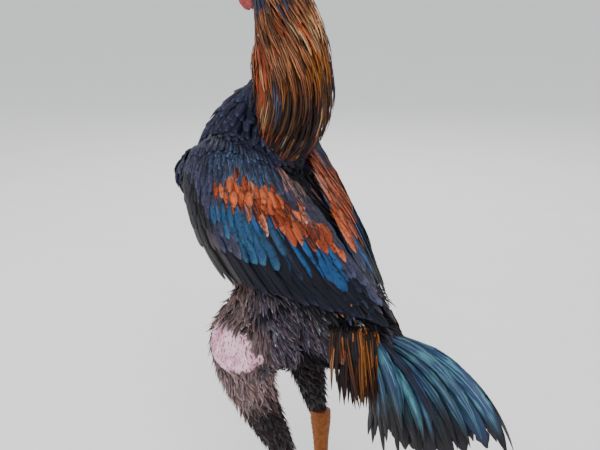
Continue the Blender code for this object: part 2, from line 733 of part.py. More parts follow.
def thigh_stations(side):
    """The feathered leg from the hip past the knee down to the hock."""
    x, y, ahead = HOCK_X[side], LEG_OUT[side], KNEE_AHEAD[side]
    rows = [
        Station(x + ahead * 0.60, y - 0.016, 0.410, 0.050, 0.038, 0.030),
        Station(x + ahead * 0.90, y + 0.001, 0.354, 0.094, 0.048, 0.040),
        Station(x + ahead * 1.00, y + 0.008, 0.312, 0.072, 0.048, 0.038),
        Station(x + ahead * 0.82, y + 0.008, 0.268, 0.040, 0.041, 0.034),
        Station(x + ahead * 0.42, y + 0.004, 0.218, 0.028, 0.030, 0.027),
        Station(x + ahead * 0.12, y, 0.182, 0.0205, 0.0225, 0.0205),
        Station(x + 0.002, y, 0.168, 0.0150, 0.0165, 0.0155),
    ]
    return rows if side == "left" else [mirrored(row) for row in rows]


def thigh(side):
    finish = material("thigh_feathers", THIGH_BROWN)
    obj = loft("thigh_" + side, thigh_stations(side), BACK, sides=12, steps=2, finish=finish)
    return cut(obj, [torso_form("body", GAP)])


def shank_stations(side):
    """The scaled leg from the hock to the foot, its front stepped where one scute laps the next."""
    x, y = HOCK_X[side], LEG_OUT[side] * (1 if side == "left" else -1)
    top_z, foot_z = HOCK_Z + 0.006, FOOT_Z
    rows = [Station(x + 0.002, y, top_z + 0.008, 0.0080, 0.0080, 0.0080)]
    for i in range(SHANK_SCUTES):
        for t, rise in ((0.0, 0.0), (0.92, SCUTE_RISE)):
            share = (i + t) / SHANK_SCUTES
            knob = HOCK_KNOB * math.exp(-((share / KNOB_SHARE) ** 2))
            knob += FOOT_KNOB * math.exp(-(((share - 1) / KNOB_SHARE) ** 2))
            z = top_z + (foot_z - top_z) * share
            half = SHANK_HALF + knob
            rows.append(Station(x - 0.003 * share, y, z, half, half + rise, SHANK_SIDE + knob))
    rows.append(Station(x - 0.003, y, foot_z - 0.002, SHANK_HALF, SHANK_HALF, SHANK_SIDE))
    return rows


def shank(side):
    finish = material("leg_scales", LEG_ORANGE, 0.5)
    obj = loft("shank_" + side, shank_stations(side), BACK, sides=8, steps=1, finish=finish)
    cover = loft("cover", thigh_stations(side), BACK, sides=12, steps=2, grow=GAP)
    return cut(obj, [cover])


def foot_middle(side):
    return Vector((HOCK_X[side] + 0.001, LEG_OUT[side] * (1 if side == "left" else -1), 0))


def toe_way(side, turn):
    """The way a toe points, level with the floor."""
    turn = math.radians(turn if side == "left" else -turn)
    return Vector((math.cos(turn), math.sin(turn), 0))


def toe_stations(side, turn, length, start=0.0):
    """A toe with a swelling under each joint, from the sole out to the root of its claw."""
    way, rows, joints = toe_way(side, turn), [], 2
    for i in range(joints * 3 + 1):
        share = i / (joints * 3)
        pad = 0.0011 * math.cos(2 * math.pi * share * joints)
        radius = TOE_RADIUS * (1 - 0.34 * share) + pad
        point = foot_middle(side) + way * (start + (length - start) * share)
        rows.append(Station(point.x, point.y, radius * 0.84, radius * 0.92, radius, radius))
    return rows


def toe_form(side, turn, length, grow=0.0):
    return loft("toe", toe_stations(side, turn, length), UP, sides=6, steps=1, grow=grow, dome=0.6)


def stand_flat(obj):
    """Presses what would be under the floor flat onto it."""
    for v in obj.data.vertices:
        v.co.z = max(v.co.z, 0.0)
    return obj


def foot(side):
    """The sole and the four toes."""
    finish = material("leg_scales", LEG_ORANGE, 0.5)
    middle = foot_middle(side) + UP * 0.0095
    sole = stand_flat(ball("foot_" + side, middle, SOLE_HALF, rings=6, sides=10, finish=finish))
    toes = [stand_flat(toe_form(side, turn, length)) for _, turn, length in TOES]
    fuse(sole, toes)
    return cut(sole, [loft("cover", shank_stations(side), BACK, sides=8, steps=1, grow=GAP)])


def claw(side, name, turn, length):
    """A claw that leaves the toe's end and bends down to the floor."""
    way = toe_way(side, turn)
    root = foot_middle(side) + way * (length - 0.0035)
    rows = []
    for i in range(CLAW_RINGS):
        share = i / (CLAW_RINGS - 1)
        size = CLAW_RADIUS * (1 - share) ** 0.7 + 0.0004
        point = root + way * CLAW_LENGTH * share
        z = 0.0062 - 0.0052 * share**2
        rows.append(Station(point.x, point.y, z, size * 1.1, size * 0.9, size * 0.8))
    finish = material("claw_horn", HORN_YELLOW, 0.4)
    obj = stand_flat(loft(f"claw_{name}_{side}", rows, UP, sides=6, steps=1, finish=finish))
    return cut(obj, [toe_form(side, turn, length, GAP)])


def spur(side):
    """The spur on the inner back of the shank, curving up a little."""
    inward = Vector((-0.80, -0.60 if side == "left" else 0.60, 0.0)).normalized()
    root = foot_middle(side) + inward * 0.007 + UP * SPUR_Z
    rows = []
    for i in range(CLAW_RINGS):
        share = i / (CLAW_RINGS - 1)
        size = SPUR_RADIUS * (1 - share) ** 0.75 + 0.0005
        point = root + inward * SPUR_LENGTH * share + UP * 0.006 * share**2
        rows.append(Station(point.x, point.y, point.z, size, size, size))
    obj = loft("spur_" + side, rows, UP, sides=6, steps=1, finish=material("claw_horn", HORN_YELLOW, 0.4))
    return cut(obj, [loft("cover", shank_stations(side), BACK, sides=8, steps=1, grow=GAP)])


def centre_on_floor():
    """Moves the whole bird so that the middle of its box stands over the origin."""
    solids = [o for o in bpy.context.scene.objects if o.type == "MESH"]
    points = np.array([v.co for o in solids for v in o.data.vertices])
    low, high = points.min(axis=0), points.max(axis=0)
    shift = Vector((-(low[0] + high[0]) / 2, -(low[1] + high[1]) / 2, 0))
    for obj in solids:
        for v in obj.data.vertices:
            v.co += shift


def smooth_round_pieces():
    for obj in bpy.context.scene.objects:
        if obj.type == "MESH":
            obj.data.shade_smooth()
            obj.data.set_sharp_from_angle(angle=math.radians(40))


def main():
    clear_scene()
    torso()
    neck()
    head()
    comb()
    beak()
    eyes()
    small_skin("earlobe", EARLOBE_AT, EARLOBE_HALF)
    small_skin("wattle", WATTLE_AT, WATTLE_HALF)
    tail()
    for side in ("left", "right"):
        wing(side)
        thigh(side)
        shank(side)
        foot(side)
        spur(side)
        for name, turn, length in TOES:
            claw(side, name, turn, length)
    centre_on_floor()
    smooth_round_pieces()


main()
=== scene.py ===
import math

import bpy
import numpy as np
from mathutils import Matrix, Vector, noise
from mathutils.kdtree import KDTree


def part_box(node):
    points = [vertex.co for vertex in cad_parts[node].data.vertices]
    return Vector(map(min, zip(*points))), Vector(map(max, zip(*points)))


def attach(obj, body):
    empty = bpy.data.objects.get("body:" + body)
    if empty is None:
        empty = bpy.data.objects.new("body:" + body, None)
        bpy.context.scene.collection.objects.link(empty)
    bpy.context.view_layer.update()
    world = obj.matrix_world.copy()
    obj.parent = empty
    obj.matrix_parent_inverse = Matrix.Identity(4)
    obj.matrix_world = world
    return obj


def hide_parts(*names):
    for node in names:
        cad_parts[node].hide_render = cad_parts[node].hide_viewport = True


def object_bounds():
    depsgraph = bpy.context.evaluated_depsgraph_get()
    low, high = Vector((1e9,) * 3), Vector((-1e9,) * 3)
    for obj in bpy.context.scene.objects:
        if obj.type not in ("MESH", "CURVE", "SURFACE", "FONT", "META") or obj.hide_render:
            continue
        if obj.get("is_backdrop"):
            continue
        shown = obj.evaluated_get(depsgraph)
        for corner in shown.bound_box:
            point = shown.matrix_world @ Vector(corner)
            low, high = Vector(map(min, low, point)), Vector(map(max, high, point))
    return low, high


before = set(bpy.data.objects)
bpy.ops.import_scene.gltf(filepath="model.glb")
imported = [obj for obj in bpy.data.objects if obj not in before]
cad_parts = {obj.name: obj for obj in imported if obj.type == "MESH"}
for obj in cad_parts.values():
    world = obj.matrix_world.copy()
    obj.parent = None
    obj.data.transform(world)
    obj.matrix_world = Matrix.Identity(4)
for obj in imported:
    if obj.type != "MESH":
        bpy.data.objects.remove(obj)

# %% [markdown]
# # A Malay cock, life size
#
# The solids of the bird are loaded above as a fixed frame: they give its size, its pose and what each
# piece is called. This lesson dresses them. One skin is modelled for the flesh, some thousands of
# feathers are laid over it along the way that real ones grow, and the eyes, beak, comb, scaled legs,
# claws and spurs are finished one by one.

bpy.context.view_layer.update()
cad_low, cad_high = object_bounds()
print("solids from", tuple(round(v, 4) for v in cad_low), "to", tuple(round(v, 4) for v in cad_high))

# %% [markdown]
# ## Where the bird stands
#
# All places below are measured from the bird's own zero, which is on the floor between its legs, with x
# ahead, y to its left and z up. The frame moved that zero a little, to centre the bird. The left eye is a
# ball whose middle is known in both, so the difference of the two gives the move.

# %% The bird's zero in the frame
EYE_LEFT = Vector((0.0705, 0.0165, 0.8190))
eye_low, eye_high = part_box("eye_left")
ZERO = (eye_low + eye_high) / 2 - EYE_LEFT
ZERO_ROW = np.array(ZERO)
SIDES = {"left": 1, "right": -1}
print("the bird's zero is at", tuple(round(v, 4) for v in ZERO))

# %% [markdown]
# ## Camera
#
# The picture was taken from behind the bird's left side, from a little over its head, looking down. The
# head is cut off by the upper edge. The lens follows from how far a metre spreads in a picture of 600
# pixels across, and the tilt from where the ground's horizon would be, well above the picture.

# %% Camera
PICTURE_WIDTH = 600
PICTURE_MIDDLE_ROW = 225
HORIZON_ROW = -87
LENS_PIXELS = 1046
SENSOR = 36
CAMERA_TURN = math.radians(40)
CAMERA_PLACE = Vector((-0.877, 1.031, 0.880))

camera_tilt = math.atan((PICTURE_MIDDLE_ROW - HORIZON_ROW) / LENS_PIXELS)
look = Vector((math.sin(CAMERA_TURN), -math.cos(CAMERA_TURN), 0)) * math.cos(camera_tilt)
look.z = -math.sin(camera_tilt)
camera_data = bpy.data.cameras.new("camera")
camera_data.sensor_width = SENSOR
camera_data.lens = SENSOR * LENS_PIXELS / PICTURE_WIDTH
camera = bpy.data.objects.new("camera", camera_data)
camera.location = ZERO + CAMERA_PLACE
camera.rotation_euler = look.to_track_quat("-Z", "Y").to_euler()
bpy.context.scene.collection.objects.link(camera)
bpy.context.scene.camera = camera
print("lens", round(camera_data.lens, 1), "mm, looking down", round(math.degrees(camera_tilt), 1), "degrees")

# %% [markdown]
# ## Shader sums
#
# A finish is a tree of small nodes. Written node by node it is long and hard to read, so a socket is
# wrapped in a class that knows the signs of arithmetic: `1 - mask * 0.4` then adds its own Math nodes.
# Every other node comes from one method, which takes the node's type, its settings and its sockets.

# %% A socket that takes part in sums
def sign(operation, turned=False):
    """What an arithmetic sign does between a socket and another value, on its right or on its left."""
    def made(wire, other):
        return wire.math(operation, other, wire) if turned else wire.math(operation, wire, other)
    return made


class Wire:
    """A socket that sums can be written with."""

    __add__, __radd__ = sign("ADD"), sign("ADD", turned=True)
    __sub__, __rsub__ = sign("SUBTRACT"), sign("SUBTRACT", turned=True)
    __mul__, __rmul__ = sign("MULTIPLY"), sign("MULTIPLY", turned=True)

    def __init__(self, finish, socket):
        self.finish = finish
        self.socket = socket

    def math(self, operation, *values, clamp=False):
        settings = {"operation": operation, "use_clamp": clamp}
        return self.finish.node("ShaderNodeMath", settings, dict(enumerate(values)))

    def sine(self):
        return self.math("SINE", self)

    def size(self):
        return self.math("ABSOLUTE", self)

    def clamped(self):
        return self.math("ADD", self, 0.0, clamp=True)

    def most(self, other):
        return self.math("MAXIMUM", self, other)

    def ramp(self, low, high):
        """0 below the low value and 1 above the high one, softly in between."""
        values = {0: self, 1: low, 2: high, 3: 0.0, 4: 1.0}
        return self.finish.node("ShaderNodeMapRange", {"interpolation_type": "SMOOTHSTEP"}, values)

    def part(self, index):
        """One of the three numbers of a vector."""
        return self.finish.node("ShaderNodeSeparateXYZ", {}, {0: self}, outlet=index)


# %% A finish and its nodes
def paint(red, green, blue):
    """A colour as a paint chart gives it, from 0 to 255, in the even steps of light that shaders use."""
    shares = [value / 255 for value in (red, green, blue)]
    return tuple(s / 12.92 if s <= 0.04045 else ((s + 0.055) / 1.055) ** 2.4 for s in shares)


class Finish:
    """A material with a Principled shader, whose nodes are all made by one method."""

    def __init__(self, name, **constants):
        self.material = bpy.data.materials.new(name)
        self.material.use_nodes = True
        self.tree = self.material.node_tree
        self.shader = self.tree.nodes["Principled BSDF"]
        for socket, value in constants.items():
            self.shader.inputs[socket.replace("_", " ")].default_value = value

    def node(self, kind, settings, values, outlet=0):
        made = self.tree.nodes.new(kind)
        for name, value in settings.items():
            setattr(made, name, value)
        for name, value in values.items():
            self.feed(made.inputs[name], value)
        return Wire(self, made.outputs[outlet])

    def feed(self, socket, value):
        if isinstance(value, Wire):
            self.tree.links.new(value.socket, socket)
        elif isinstance(value, tuple) and socket.type == "RGBA":
            socket.default_value = (*value, 1)
        else:
            socket.default_value = value

    def mix(self, first, second, share, blend="MIX"):
        settings = {"data_type": "RGBA", "blend_type": blend}
        return self.node("ShaderNodeMix", settings, {0: share, 6: first, 7: second}, outlet=2)

    def scaled(self, colour, amount):
        """A colour made lighter or darker by a number that changes over the surface."""
        return self.node("ShaderNodeVectorMath", {"operation": "SCALE"}, {0: colour, 3: amount})

    def place(self):
        return self.node("ShaderNodeTexCoord", {}, {}, outlet=3)

    def noise(self, where, scale, detail=3.0, rough=0.55, stretch=None):
        if stretch:
            where = self.node("ShaderNodeVectorMath", {"operation": "MULTIPLY"}, {0: where, 1: stretch})
        values = {"Vector": where, "Scale": scale, "Detail": detail, "Roughness": rough}
        return self.node("ShaderNodeTexNoise", {}, values)

    def cells(self, where, scale, feature="DISTANCE_TO_EDGE"):
        return self.node("ShaderNodeTexVoronoi", {"feature": feature}, {"Vector": where, "Scale": scale})

    def told(self, name, outlet=1):
        """What a mesh says of itself: 0 is the colour, 1 the vector and 2 the number of an attribute."""
        return self.node("ShaderNodeAttribute", {"attribute_name": name}, {}, outlet=outlet)

    def bump(self, height, depth, strength=1.0):
        values = {"Height": height, "Distance": depth, "Strength": strength}
        self.feed(self.shader.inputs["Normal"], self.node("ShaderNodeBump", {}, values))

    def out(self, socket, value):
        self.feed(self.shader.inputs[socket], value)


# %% [markdown]
# ## Floor and light
#
# The bird was out under an even, cloudy sky. Here it stands on a pale floor in a studio, so the light is
# as soft: a bright surround, one very large lamp over and behind the camera, and a weaker one opposite
# that keeps the far side from going dull.

# %% A bench to work at
def deselect():
    if bpy.context.object and bpy.context.object.mode != "OBJECT":
        bpy.ops.object.mode_set(mode="OBJECT")
    bpy.ops.object.select_all(action="DESELECT")


def pick(*objects):
    """Selects these objects alone, with the first one active."""
    deselect()
    for obj in objects:
        obj.select_set(True)
    bpy.context.view_layer.objects.active = objects[0]


def applied(obj, kind, **settings):
    """Adds a modifier to an object and applies it."""
    pick(obj)
    modifier = obj.modifiers.new(kind.lower(), kind)
    for name, value in settings.items():
        setattr(modifier, name, value)
    bpy.ops.object.modifier_apply(modifier=modifier.name)


def at_rest(obj):
    """Puts an object's place into its mesh."""
    pick(obj)
    bpy.ops.object.transform_apply(location=True, rotation=True, scale=True)
    bpy.ops.object.shade_smooth()


def triangles(obj):
    return sum(len(polygon.vertices) - 2 for polygon in obj.data.polygons)


# %% Floor
FLOOR_SIZE = 90.0
floor_paint = Finish("studio_floor", Roughness=0.75)
floor_noise = floor_paint.noise(floor_paint.place(), 9.0)
floor_shade = floor_paint.mix(paint(247, 245, 241), paint(252, 251, 248), floor_noise)
floor_paint.out("Base Color", floor_shade)
floor_paint.bump(floor_paint.noise(floor_paint.place(), 160.0), 0.0006)
deselect()
bpy.ops.mesh.primitive_plane_add(size=FLOOR_SIZE, location=(0, 0, 0))
studio_floor = bpy.context.object
studio_floor.name = "studio_floor"
studio_floor.data.materials.append(floor_paint.material)
studio_floor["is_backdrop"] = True

# %% Lamps and surround
# Each lamp's place, size and power.
LAMPS = {
    "key_lamp": ((-1.6, 2.0, 2.6), 2.2, 84),
    "rim_lamp": ((1.5, -2.0, 2.0), 1.8, 30),
    "front_lamp": ((1.9, 1.6, 1.2), 1.8, 22),
}
LAMPS_AIM = Vector((0, 0, 0.45))
SURROUND_COLOUR = (0.93, 0.96, 1.0, 1)
SURROUND_STRENGTH = 0.9
for name, (place, size, power) in LAMPS.items():
    lamp_data = bpy.data.lights.new(name, "AREA")
    lamp_data.shape = "DISK"
    lamp_data.size = size
    lamp_data.energy = power
    lamp = bpy.data.objects.new(name, lamp_data)
    lamp.location = place
    lamp.rotation_euler = (LAMPS_AIM - Vector(place)).to_track_quat("-Z", "Y").to_euler()
    bpy.context.scene.collection.objects.link(lamp)
surround = bpy.data.worlds.new("surround")
surround.use_nodes = True
sky = surround.node_tree.nodes["Background"]
sky.inputs["Color"].default_value = SURROUND_COLOUR
sky.inputs["Strength"].default_value = SURROUND_STRENGTH
bpy.context.scene.world = surround
print("lamps", sorted(LAMPS))

# %% [markdown]
# ## The forms of the body
#
# The flesh is a few long forms: the trunk, the neck, the head, the throat, two thighs. Each is described
# by rings along it. A ring has its middle, and how far its rim is above, below and beside that middle.
# The feathers need the same forms, to know where they grow and how far out they may reach, so the rings
# are kept as tables of real sizes in metres: x, y, z, then top, bottom, side.

# %% Rings of the trunk, neck and head
UP = np.array((0.0, 0.0, 1.0))
BACK = np.array((-1.0, 0.0, 0.0))
BACK_AND_UP = np.array((-0.7, 0.0, 0.7))

TRUNK = [
    (0.068, 0, 0.652, 0.028, 0.014, 0.026),
    (0.088, 0, 0.618, 0.046, 0.034, 0.050),
    (0.083, 0, 0.562, 0.062, 0.074, 0.080),
    (0.045, 0, 0.502, 0.068, 0.092, 0.094),
    (-0.003, 0, 0.448, 0.062, 0.098, 0.094),
    (-0.055, 0, 0.405, 0.050, 0.112, 0.080),
    (-0.105, 0, 0.374, 0.036, 0.098, 0.058),
    (-0.148, 0, 0.353, 0.022, 0.048, 0.032),
    (-0.160, 0, 0.347, 0.010, 0.016, 0.012),
]
WING_SHELL = [
    (0.110, 0, 0.638, 0.034, 0.060, 0.056),
    (0.101, 0, 0.614, 0.052, 0.090, 0.094),
    (0.083, 0, 0.562, 0.072, 0.116, 0.120),
    (0.045, 0, 0.502, 0.078, 0.126, 0.128),
    (-0.003, 0, 0.448, 0.076, 0.126, 0.121),
    (-0.055, 0, 0.405, 0.066, 0.106, 0.104),
    (-0.105, 0, 0.374, 0.055, 0.078, 0.076),
    (-0.148, 0, 0.353, 0.046, 0.055, 0.046),
    (-0.160, 0, 0.347, 0.042, 0.050, 0.040),
]
HACKLE = [
    (0.022, 0, 0.556, 0.024, 0.034, 0.030),
    (0.014, 0, 0.580, 0.030, 0.034, 0.030),
    (0.006, 0, 0.605, 0.046, 0.046, 0.040),
    (-0.002, 0, 0.645, 0.056, 0.056, 0.049),
    (0.002, 0, 0.690, 0.058, 0.058, 0.050),
    (0.010, 0, 0.727, 0.055, 0.054, 0.047),
    (0.024, 0, 0.770, 0.047, 0.044, 0.038),
    (0.034, 0, 0.800, 0.038, 0.030, 0.028),
    (0.040, 0, 0.822, 0.026, 0.012, 0.018),
]
NECK = [
    (0.034, 0, 0.540, 0.032, 0.036, 0.031),
    (0.030, 0, 0.556, 0.032, 0.036, 0.031),
    (0.016, 0, 0.600, 0.034, 0.034, 0.031),
    (0.006, 0, 0.650, 0.035, 0.034, 0.031),
    (0.008, 0, 0.700, 0.035, 0.033, 0.030),
    (0.020, 0, 0.750, 0.031, 0.029, 0.026),
    (0.034, 0, 0.790, 0.024, 0.020, 0.020),
    (0.041, 0, 0.814, 0.018, 0.010, 0.015),
]
HEAD = [
    (0.020, 0, 0.814, 0.010, 0.012, 0.009),
    (0.027, 0, 0.815, 0.020, 0.022, 0.0175),
    (0.041, 0, 0.817, 0.0265, 0.027, 0.0225),
    (0.056, 0, 0.818, 0.0265, 0.026, 0.0235),
    (0.069, 0, 0.817, 0.024, 0.0245, 0.0215),
    (0.081, 0, 0.813, 0.0185, 0.020, 0.0175),
    (0.091, 0, 0.808, 0.0130, 0.0145, 0.0125),
    (0.095, 0, 0.806, 0.0080, 0.0090, 0.0080),
]
THROAT = [
    (0.058, 0, 0.806, 0.020, 0.022, 0.018),
    (0.060, 0, 0.788, 0.020, 0.020, 0.016),
    (0.060, 0, 0.772, 0.018, 0.019, 0.013),
    (0.060, 0, 0.760, 0.010, 0.012, 0.007),
]
DEWLAP = [
    (0.088, 0, 0.800, 0.006, 0.006, 0.004),
    (0.088, 0, 0.788, 0.012, 0.010, 0.0045),
    (0.086, 0, 0.776, 0.014, 0.012, 0.0040),
    (0.080, 0, 0.765, 0.010, 0.008, 0.0030),
    (0.074, 0, 0.759, 0.004, 0.003, 0.0018),
]
print(len(TRUNK), "rings on the trunk,", len(HACKLE), "round the hackle")

# %% Rings of the legs
LEG_OUT = {"left": 0.076, "right": 0.064}
KNEE_AHEAD = {"left": 0.078, "right": 0.052}
HOCK_X = {"left": -0.060, "right": 0.002}
HOCK_Z = 0.163


def thigh_rings(side):
    """The feathered leg from the hip past the knee down to the hock."""
    x, y, ahead = HOCK_X[side], LEG_OUT[side], KNEE_AHEAD[side]
    rings = np.array([
        (x + ahead * 0.60, y - 0.016, 0.410, 0.050, 0.038, 0.030),
        (x + ahead * 0.90, y + 0.001, 0.354, 0.094, 0.056, 0.041),
        (x + ahead * 1.00, y + 0.008, 0.312, 0.072, 0.054, 0.040),
        (x + ahead * 0.82, y + 0.008, 0.268, 0.040, 0.041, 0.034),
        (x + ahead * 0.42, y + 0.004, 0.218, 0.028, 0.030, 0.027),
        (x + ahead * 0.12, y, 0.182, 0.0205, 0.0225, 0.0205),
        (x + 0.002, y, 0.168, 0.0150, 0.0165, 0.0155),
    ])
    rings[:, 1] *= SIDES[side]
    return rings


# %% A smooth curve through the rings
def rings_at(rings, places):
    """The rings at many places at once, counted in rings, on a smooth curve through all."""
    rows = np.array(rings, float)
    rows = np.vstack([2 * rows[0] - rows[1], rows, 2 * rows[-1] - rows[-2]])
    places = np.asarray(places, float)
    first = np.clip(np.floor(places).astype(int), 0, len(rows) - 4)
    t = (places - first)[..., None]
    a, b, c, d = (rows[first + k] for k in range(4))
    curve = 2 * b + (c - a) * t + (2 * a - 5 * b + 4 * c - d) * t**2
    return (curve + (3 * b - a - 3 * c + d) * t**3) / 2


def unit(vectors):
    return vectors / np.maximum(np.linalg.norm(vectors, axis=-1, keepdims=True), 1e-12)


def ring_ways(rings, places, dorsal):
    """The side, the top and the way along of a form, at many places."""
    along = unit(rings_at(rings, places + 0.1)[..., :3] - rings_at(rings, places - 0.1)[..., :3])
    side = unit(np.cross(along, dorsal))
    return side, np.cross(side, along), along


def on_form(rings, places, angles, dorsal, out=0.0):
    """Points on a form. The angle, in degrees, runs from its top round to its side."""
    places, angles = np.broadcast_arrays(np.asarray(places, float), np.radians(angles))
    here = rings_at(rings, places)
    side, top, _ = ring_ways(rings, places, dorsal)
    rise = np.where(np.cos(angles) > 0, here[..., 3], here[..., 4]) + out
    across = np.sin(angles) * (here[..., 5] + out)
    return here[..., :3] + side * across[..., None] + top * (np.cos(angles) * rise)[..., None]


# %% [markdown]
# ## The skin
#
# The bird's skin is one surface from beak to hock, so it must be one mesh with no seams. It could be
# sculpted, or pulled out of a cage with Subdivision Surface, but the forms above already say where it
# lies. So each form is lofted: circles are added at its rings, tilted and stretched, and bridged. All are
# joined and turned into one closed mesh with a voxel remesh, which also rounds the joins between them.
# Under the coat the skin lies lower than the solids, by the coat's depth. The head is bare and shows its
# folds, so it gets far smaller voxels and is then united with the rest.

# %% A loft made of circles
THINNEST = 0.0003


def lofted(name, rings, dorsal, thinner=0.0, steps=2, sides=24):
    """A closed tube: one circle for each ring, all bridged and both ends filled."""
    places = np.linspace(0, len(rings) - 1, steps * (len(rings) - 1) + 1)
    here = rings_at(rings, places)
    side, top, along = ring_ways(rings, places, dorsal)
    deselect()
    for i in range(len(places)):
        above, below, beside = here[i, 3:]
        middle = here[i, :3] + top[i] * (above - below) / 2 + ZERO_ROW
        half = (max(beside - thinner, THINNEST), max((above + below) / 2 - thinner, THINNEST), 1)
        axes = Matrix((side[i], top[i], -along[i]))
        turn = axes.transposed().to_euler()
        bpy.ops.mesh.primitive_circle_add(vertices=sides, radius=1, location=middle, rotation=turn)
        if i == 0:
            tube = bpy.context.object
            bpy.ops.object.transform_apply(location=True, rotation=True, scale=True)
            bpy.ops.object.mode_set(mode="EDIT")
            bpy.ops.mesh.select_all(action="SELECT")
        bpy.ops.transform.resize(
            value=half, orient_type="GLOBAL", orient_matrix=[list(axis) for axis in axes],
            orient_matrix_type="GLOBAL", center_override=middle,
        )
    bpy.ops.mesh.select_all(action="SELECT")
    bpy.ops.mesh.bridge_edge_loops()
    bpy.ops.mesh.select_all(action="SELECT")
    bpy.ops.mesh.fill_holes(sides=0)
    bpy.ops.mesh.select_all(action="SELECT")
    bpy.ops.mesh.normals_make_consistent(inside=False)
    bpy.ops.object.mode_set(mode="OBJECT")
    tube.name = name
    at_rest(tube)
    return tube


def settled(obj):
    """Writes a mesh's faces in a fixed order. Blender starts those of a ball at other corners in each run."""
    mesh = obj.data
    points = [tuple(vertex.co) for vertex in mesh.vertices]
    faces = []
    for polygon in mesh.polygons:
        corners = list(polygon.vertices)
        first = corners.index(min(corners))
        faces.append(corners[first:] + corners[:first])
    mesh.clear_geometry()
    mesh.from_pydata(points, [], sorted(faces))


def ball(name, middle, half, turn=(0, 0, 0), sides=24, rings=16):
    """A ball, stretched and turned, as the start of a lump of flesh."""
    deselect()
    bpy.ops.mesh.primitive_uv_sphere_add(
        segments=sides, ring_count=rings, radius=1, location=ZERO + Vector(middle), rotation=turn, scale=half
    )
    made = bpy.context.object
    made.name = name
    settled(made)
    at_rest(made)
    return made


def remeshed(name, pieces, voxel, smooth=4):
    """Joins pieces that overlap and gives them one closed, even surface."""
    pick(*pieces)
    bpy.ops.object.join()
    made = bpy.context.object
    made.name = name
    made.data.remesh_voxel_size = voxel
    made.data.remesh_voxel_adaptivity = 0
    bpy.ops.object.voxel_remesh()
    applied(made, "SMOOTH", factor=0.5, iterations=smooth)
    return made


# %% The wing's lines
# Each wing's feathers lie along lines that run from its head, at the shoulder, to its foot. A line starts
# at a place and an angle on the shell, given here from the front edge up to the edge along the back.
WING_HEAD = [(1.50, 90), (1.26, 62), (1.60, 37), (2.05, 18)]
WING_FOOT = [(3.45, 127), (3.95, 111), (4.45, 95), (5.10, 76), (6.10, 51), (7.10, 22)]
WING_BOW = 8


def on_line(pairs, shares):
    """A place on the line and its angle; shares over 1 go on past its end."""
    steps = np.linspace(0, 1, len(pairs))
    beyond = np.maximum(np.asarray(shares, float) - 1, 0) * (len(pairs) - 1)
    rows = np.array(pairs, float).T
    return [np.interp(shares, steps, row) + beyond * (row[-1] - row[-2]) for row in rows]


def wing_point(share, way, rise, side):
    """Points on a wing: share of the way round it, way down its line, and rise over its face."""
    share, way = np.broadcast_arrays(np.asarray(share, float), np.asarray(way, float))
    head_place, head_angle = on_line(WING_HEAD, share)
    foot_place, foot_angle = on_line(WING_FOOT, share)
    bow = WING_BOW * np.sin(math.pi * np.minimum(way, 1)) * (1 - share)
    angle = head_angle + (foot_angle - head_angle) * way + bow
    points = on_form(WING_SHELL, head_place + (foot_place - head_place) * way, angle, BACK_AND_UP, rise)
    points[..., 1] *= SIDES[side]
    return points


# %% The trunk, neck, thighs and wing bones under one surface
BODY_VOXEL = 0.0032
COAT_DEPTH = 0.0058
LEG_COAT_DEPTH = 0.0075
WING_FLESH_HALF = (0.021, 0.021, 0.009)
WING_FLESH_SHARES = (0.20, 0.36, 0.52, 0.68, 0.84)
# How far down the wing, how deep under its face, and the first share that has flesh there.
WING_FLESH = [(0.10, 0.034, 0.52), (0.20, 0.027, 0.20), (0.31, 0.023, 0.20), (0.42, 0.023, 0.20)]

flesh = [
    lofted("trunk", TRUNK, BACK_AND_UP, COAT_DEPTH),
    lofted("neck_flesh", NECK, BACK),
    ball("rump", (-0.160, 0, 0.340), (0.018, 0.018, 0.030)),
    ball("crop_top", (0.040, 0, 0.648), (0.032, 0.027, 0.028)),
]
for side in SIDES:
    flesh.append(lofted("thigh", thigh_rings(side), BACK, LEG_COAT_DEPTH))
    flesh.append(ball("breast", (0.101, 0.058 * SIDES[side], 0.542), (0.046, 0.036, 0.034)))
    for way, depth, first in WING_FLESH:
        for share in [share for share in WING_FLESH_SHARES if share >= first]:
            middle = wing_point(share, way, -depth, side)
            out = Vector(wing_point(share, way, 0.0, side) - middle)
            turn = out.to_track_quat("Z", "Y").to_euler()
            flesh.append(ball("wing_flesh", middle, WING_FLESH_HALF, turn, sides=16, rings=10))
body_skin = remeshed("body_skin", flesh, BODY_VOXEL, smooth=10)
print("body skin", triangles(body_skin), "triangles")

# %% [markdown]
# ## The head
#
# A Malay cock has a broad, short skull with heavy brows over deep, pale eyes, a hooked beak, a low comb
# like half a strawberry, and bare red skin that runs far down the throat. Skull, throat and the fold under
# the beak are lofts again. The brows and lids are added as balls and rings before the remesh, so that
# they grow out of the face. The sockets are cut out afterwards with a Boolean, which keeps their rims
# crisp.

# %% The head's lumps and lids
HEAD_VOXEL = 0.00088
EYE_RADIUS = 0.0068
LID_RADIUS = 0.0056
LID_THICK = 0.0015
LID_OUT = 0.62
LID_LEAN = (0.22, 1.0, 0.05)
BROW_FROM_EYE = (-0.0010, 0.0005, 0.0092)
BROW_HALF = (0.0130, 0.0060, 0.0040)
CHEEK_AT = (0.0560, 0.0165, 0.8040)
CHEEK_HALF = (0.0130, 0.0070, 0.0080)
EAR_AT = (0.0420, 0.0235, 0.8130)
EAR_RADIUS = 0.0036
EAR_RIM = 0.0010
EAR_HOLE_HALF = (0.0026, 0.0045, 0.0026)
GAPE_AT = (0.0860, 0.0110, 0.8070)
GAPE_HALF = (0.0060, 0.0028, 0.0022)


def on_side(place, side):
    return Vector((place[0], place[1] * SIDES[side], place[2]))


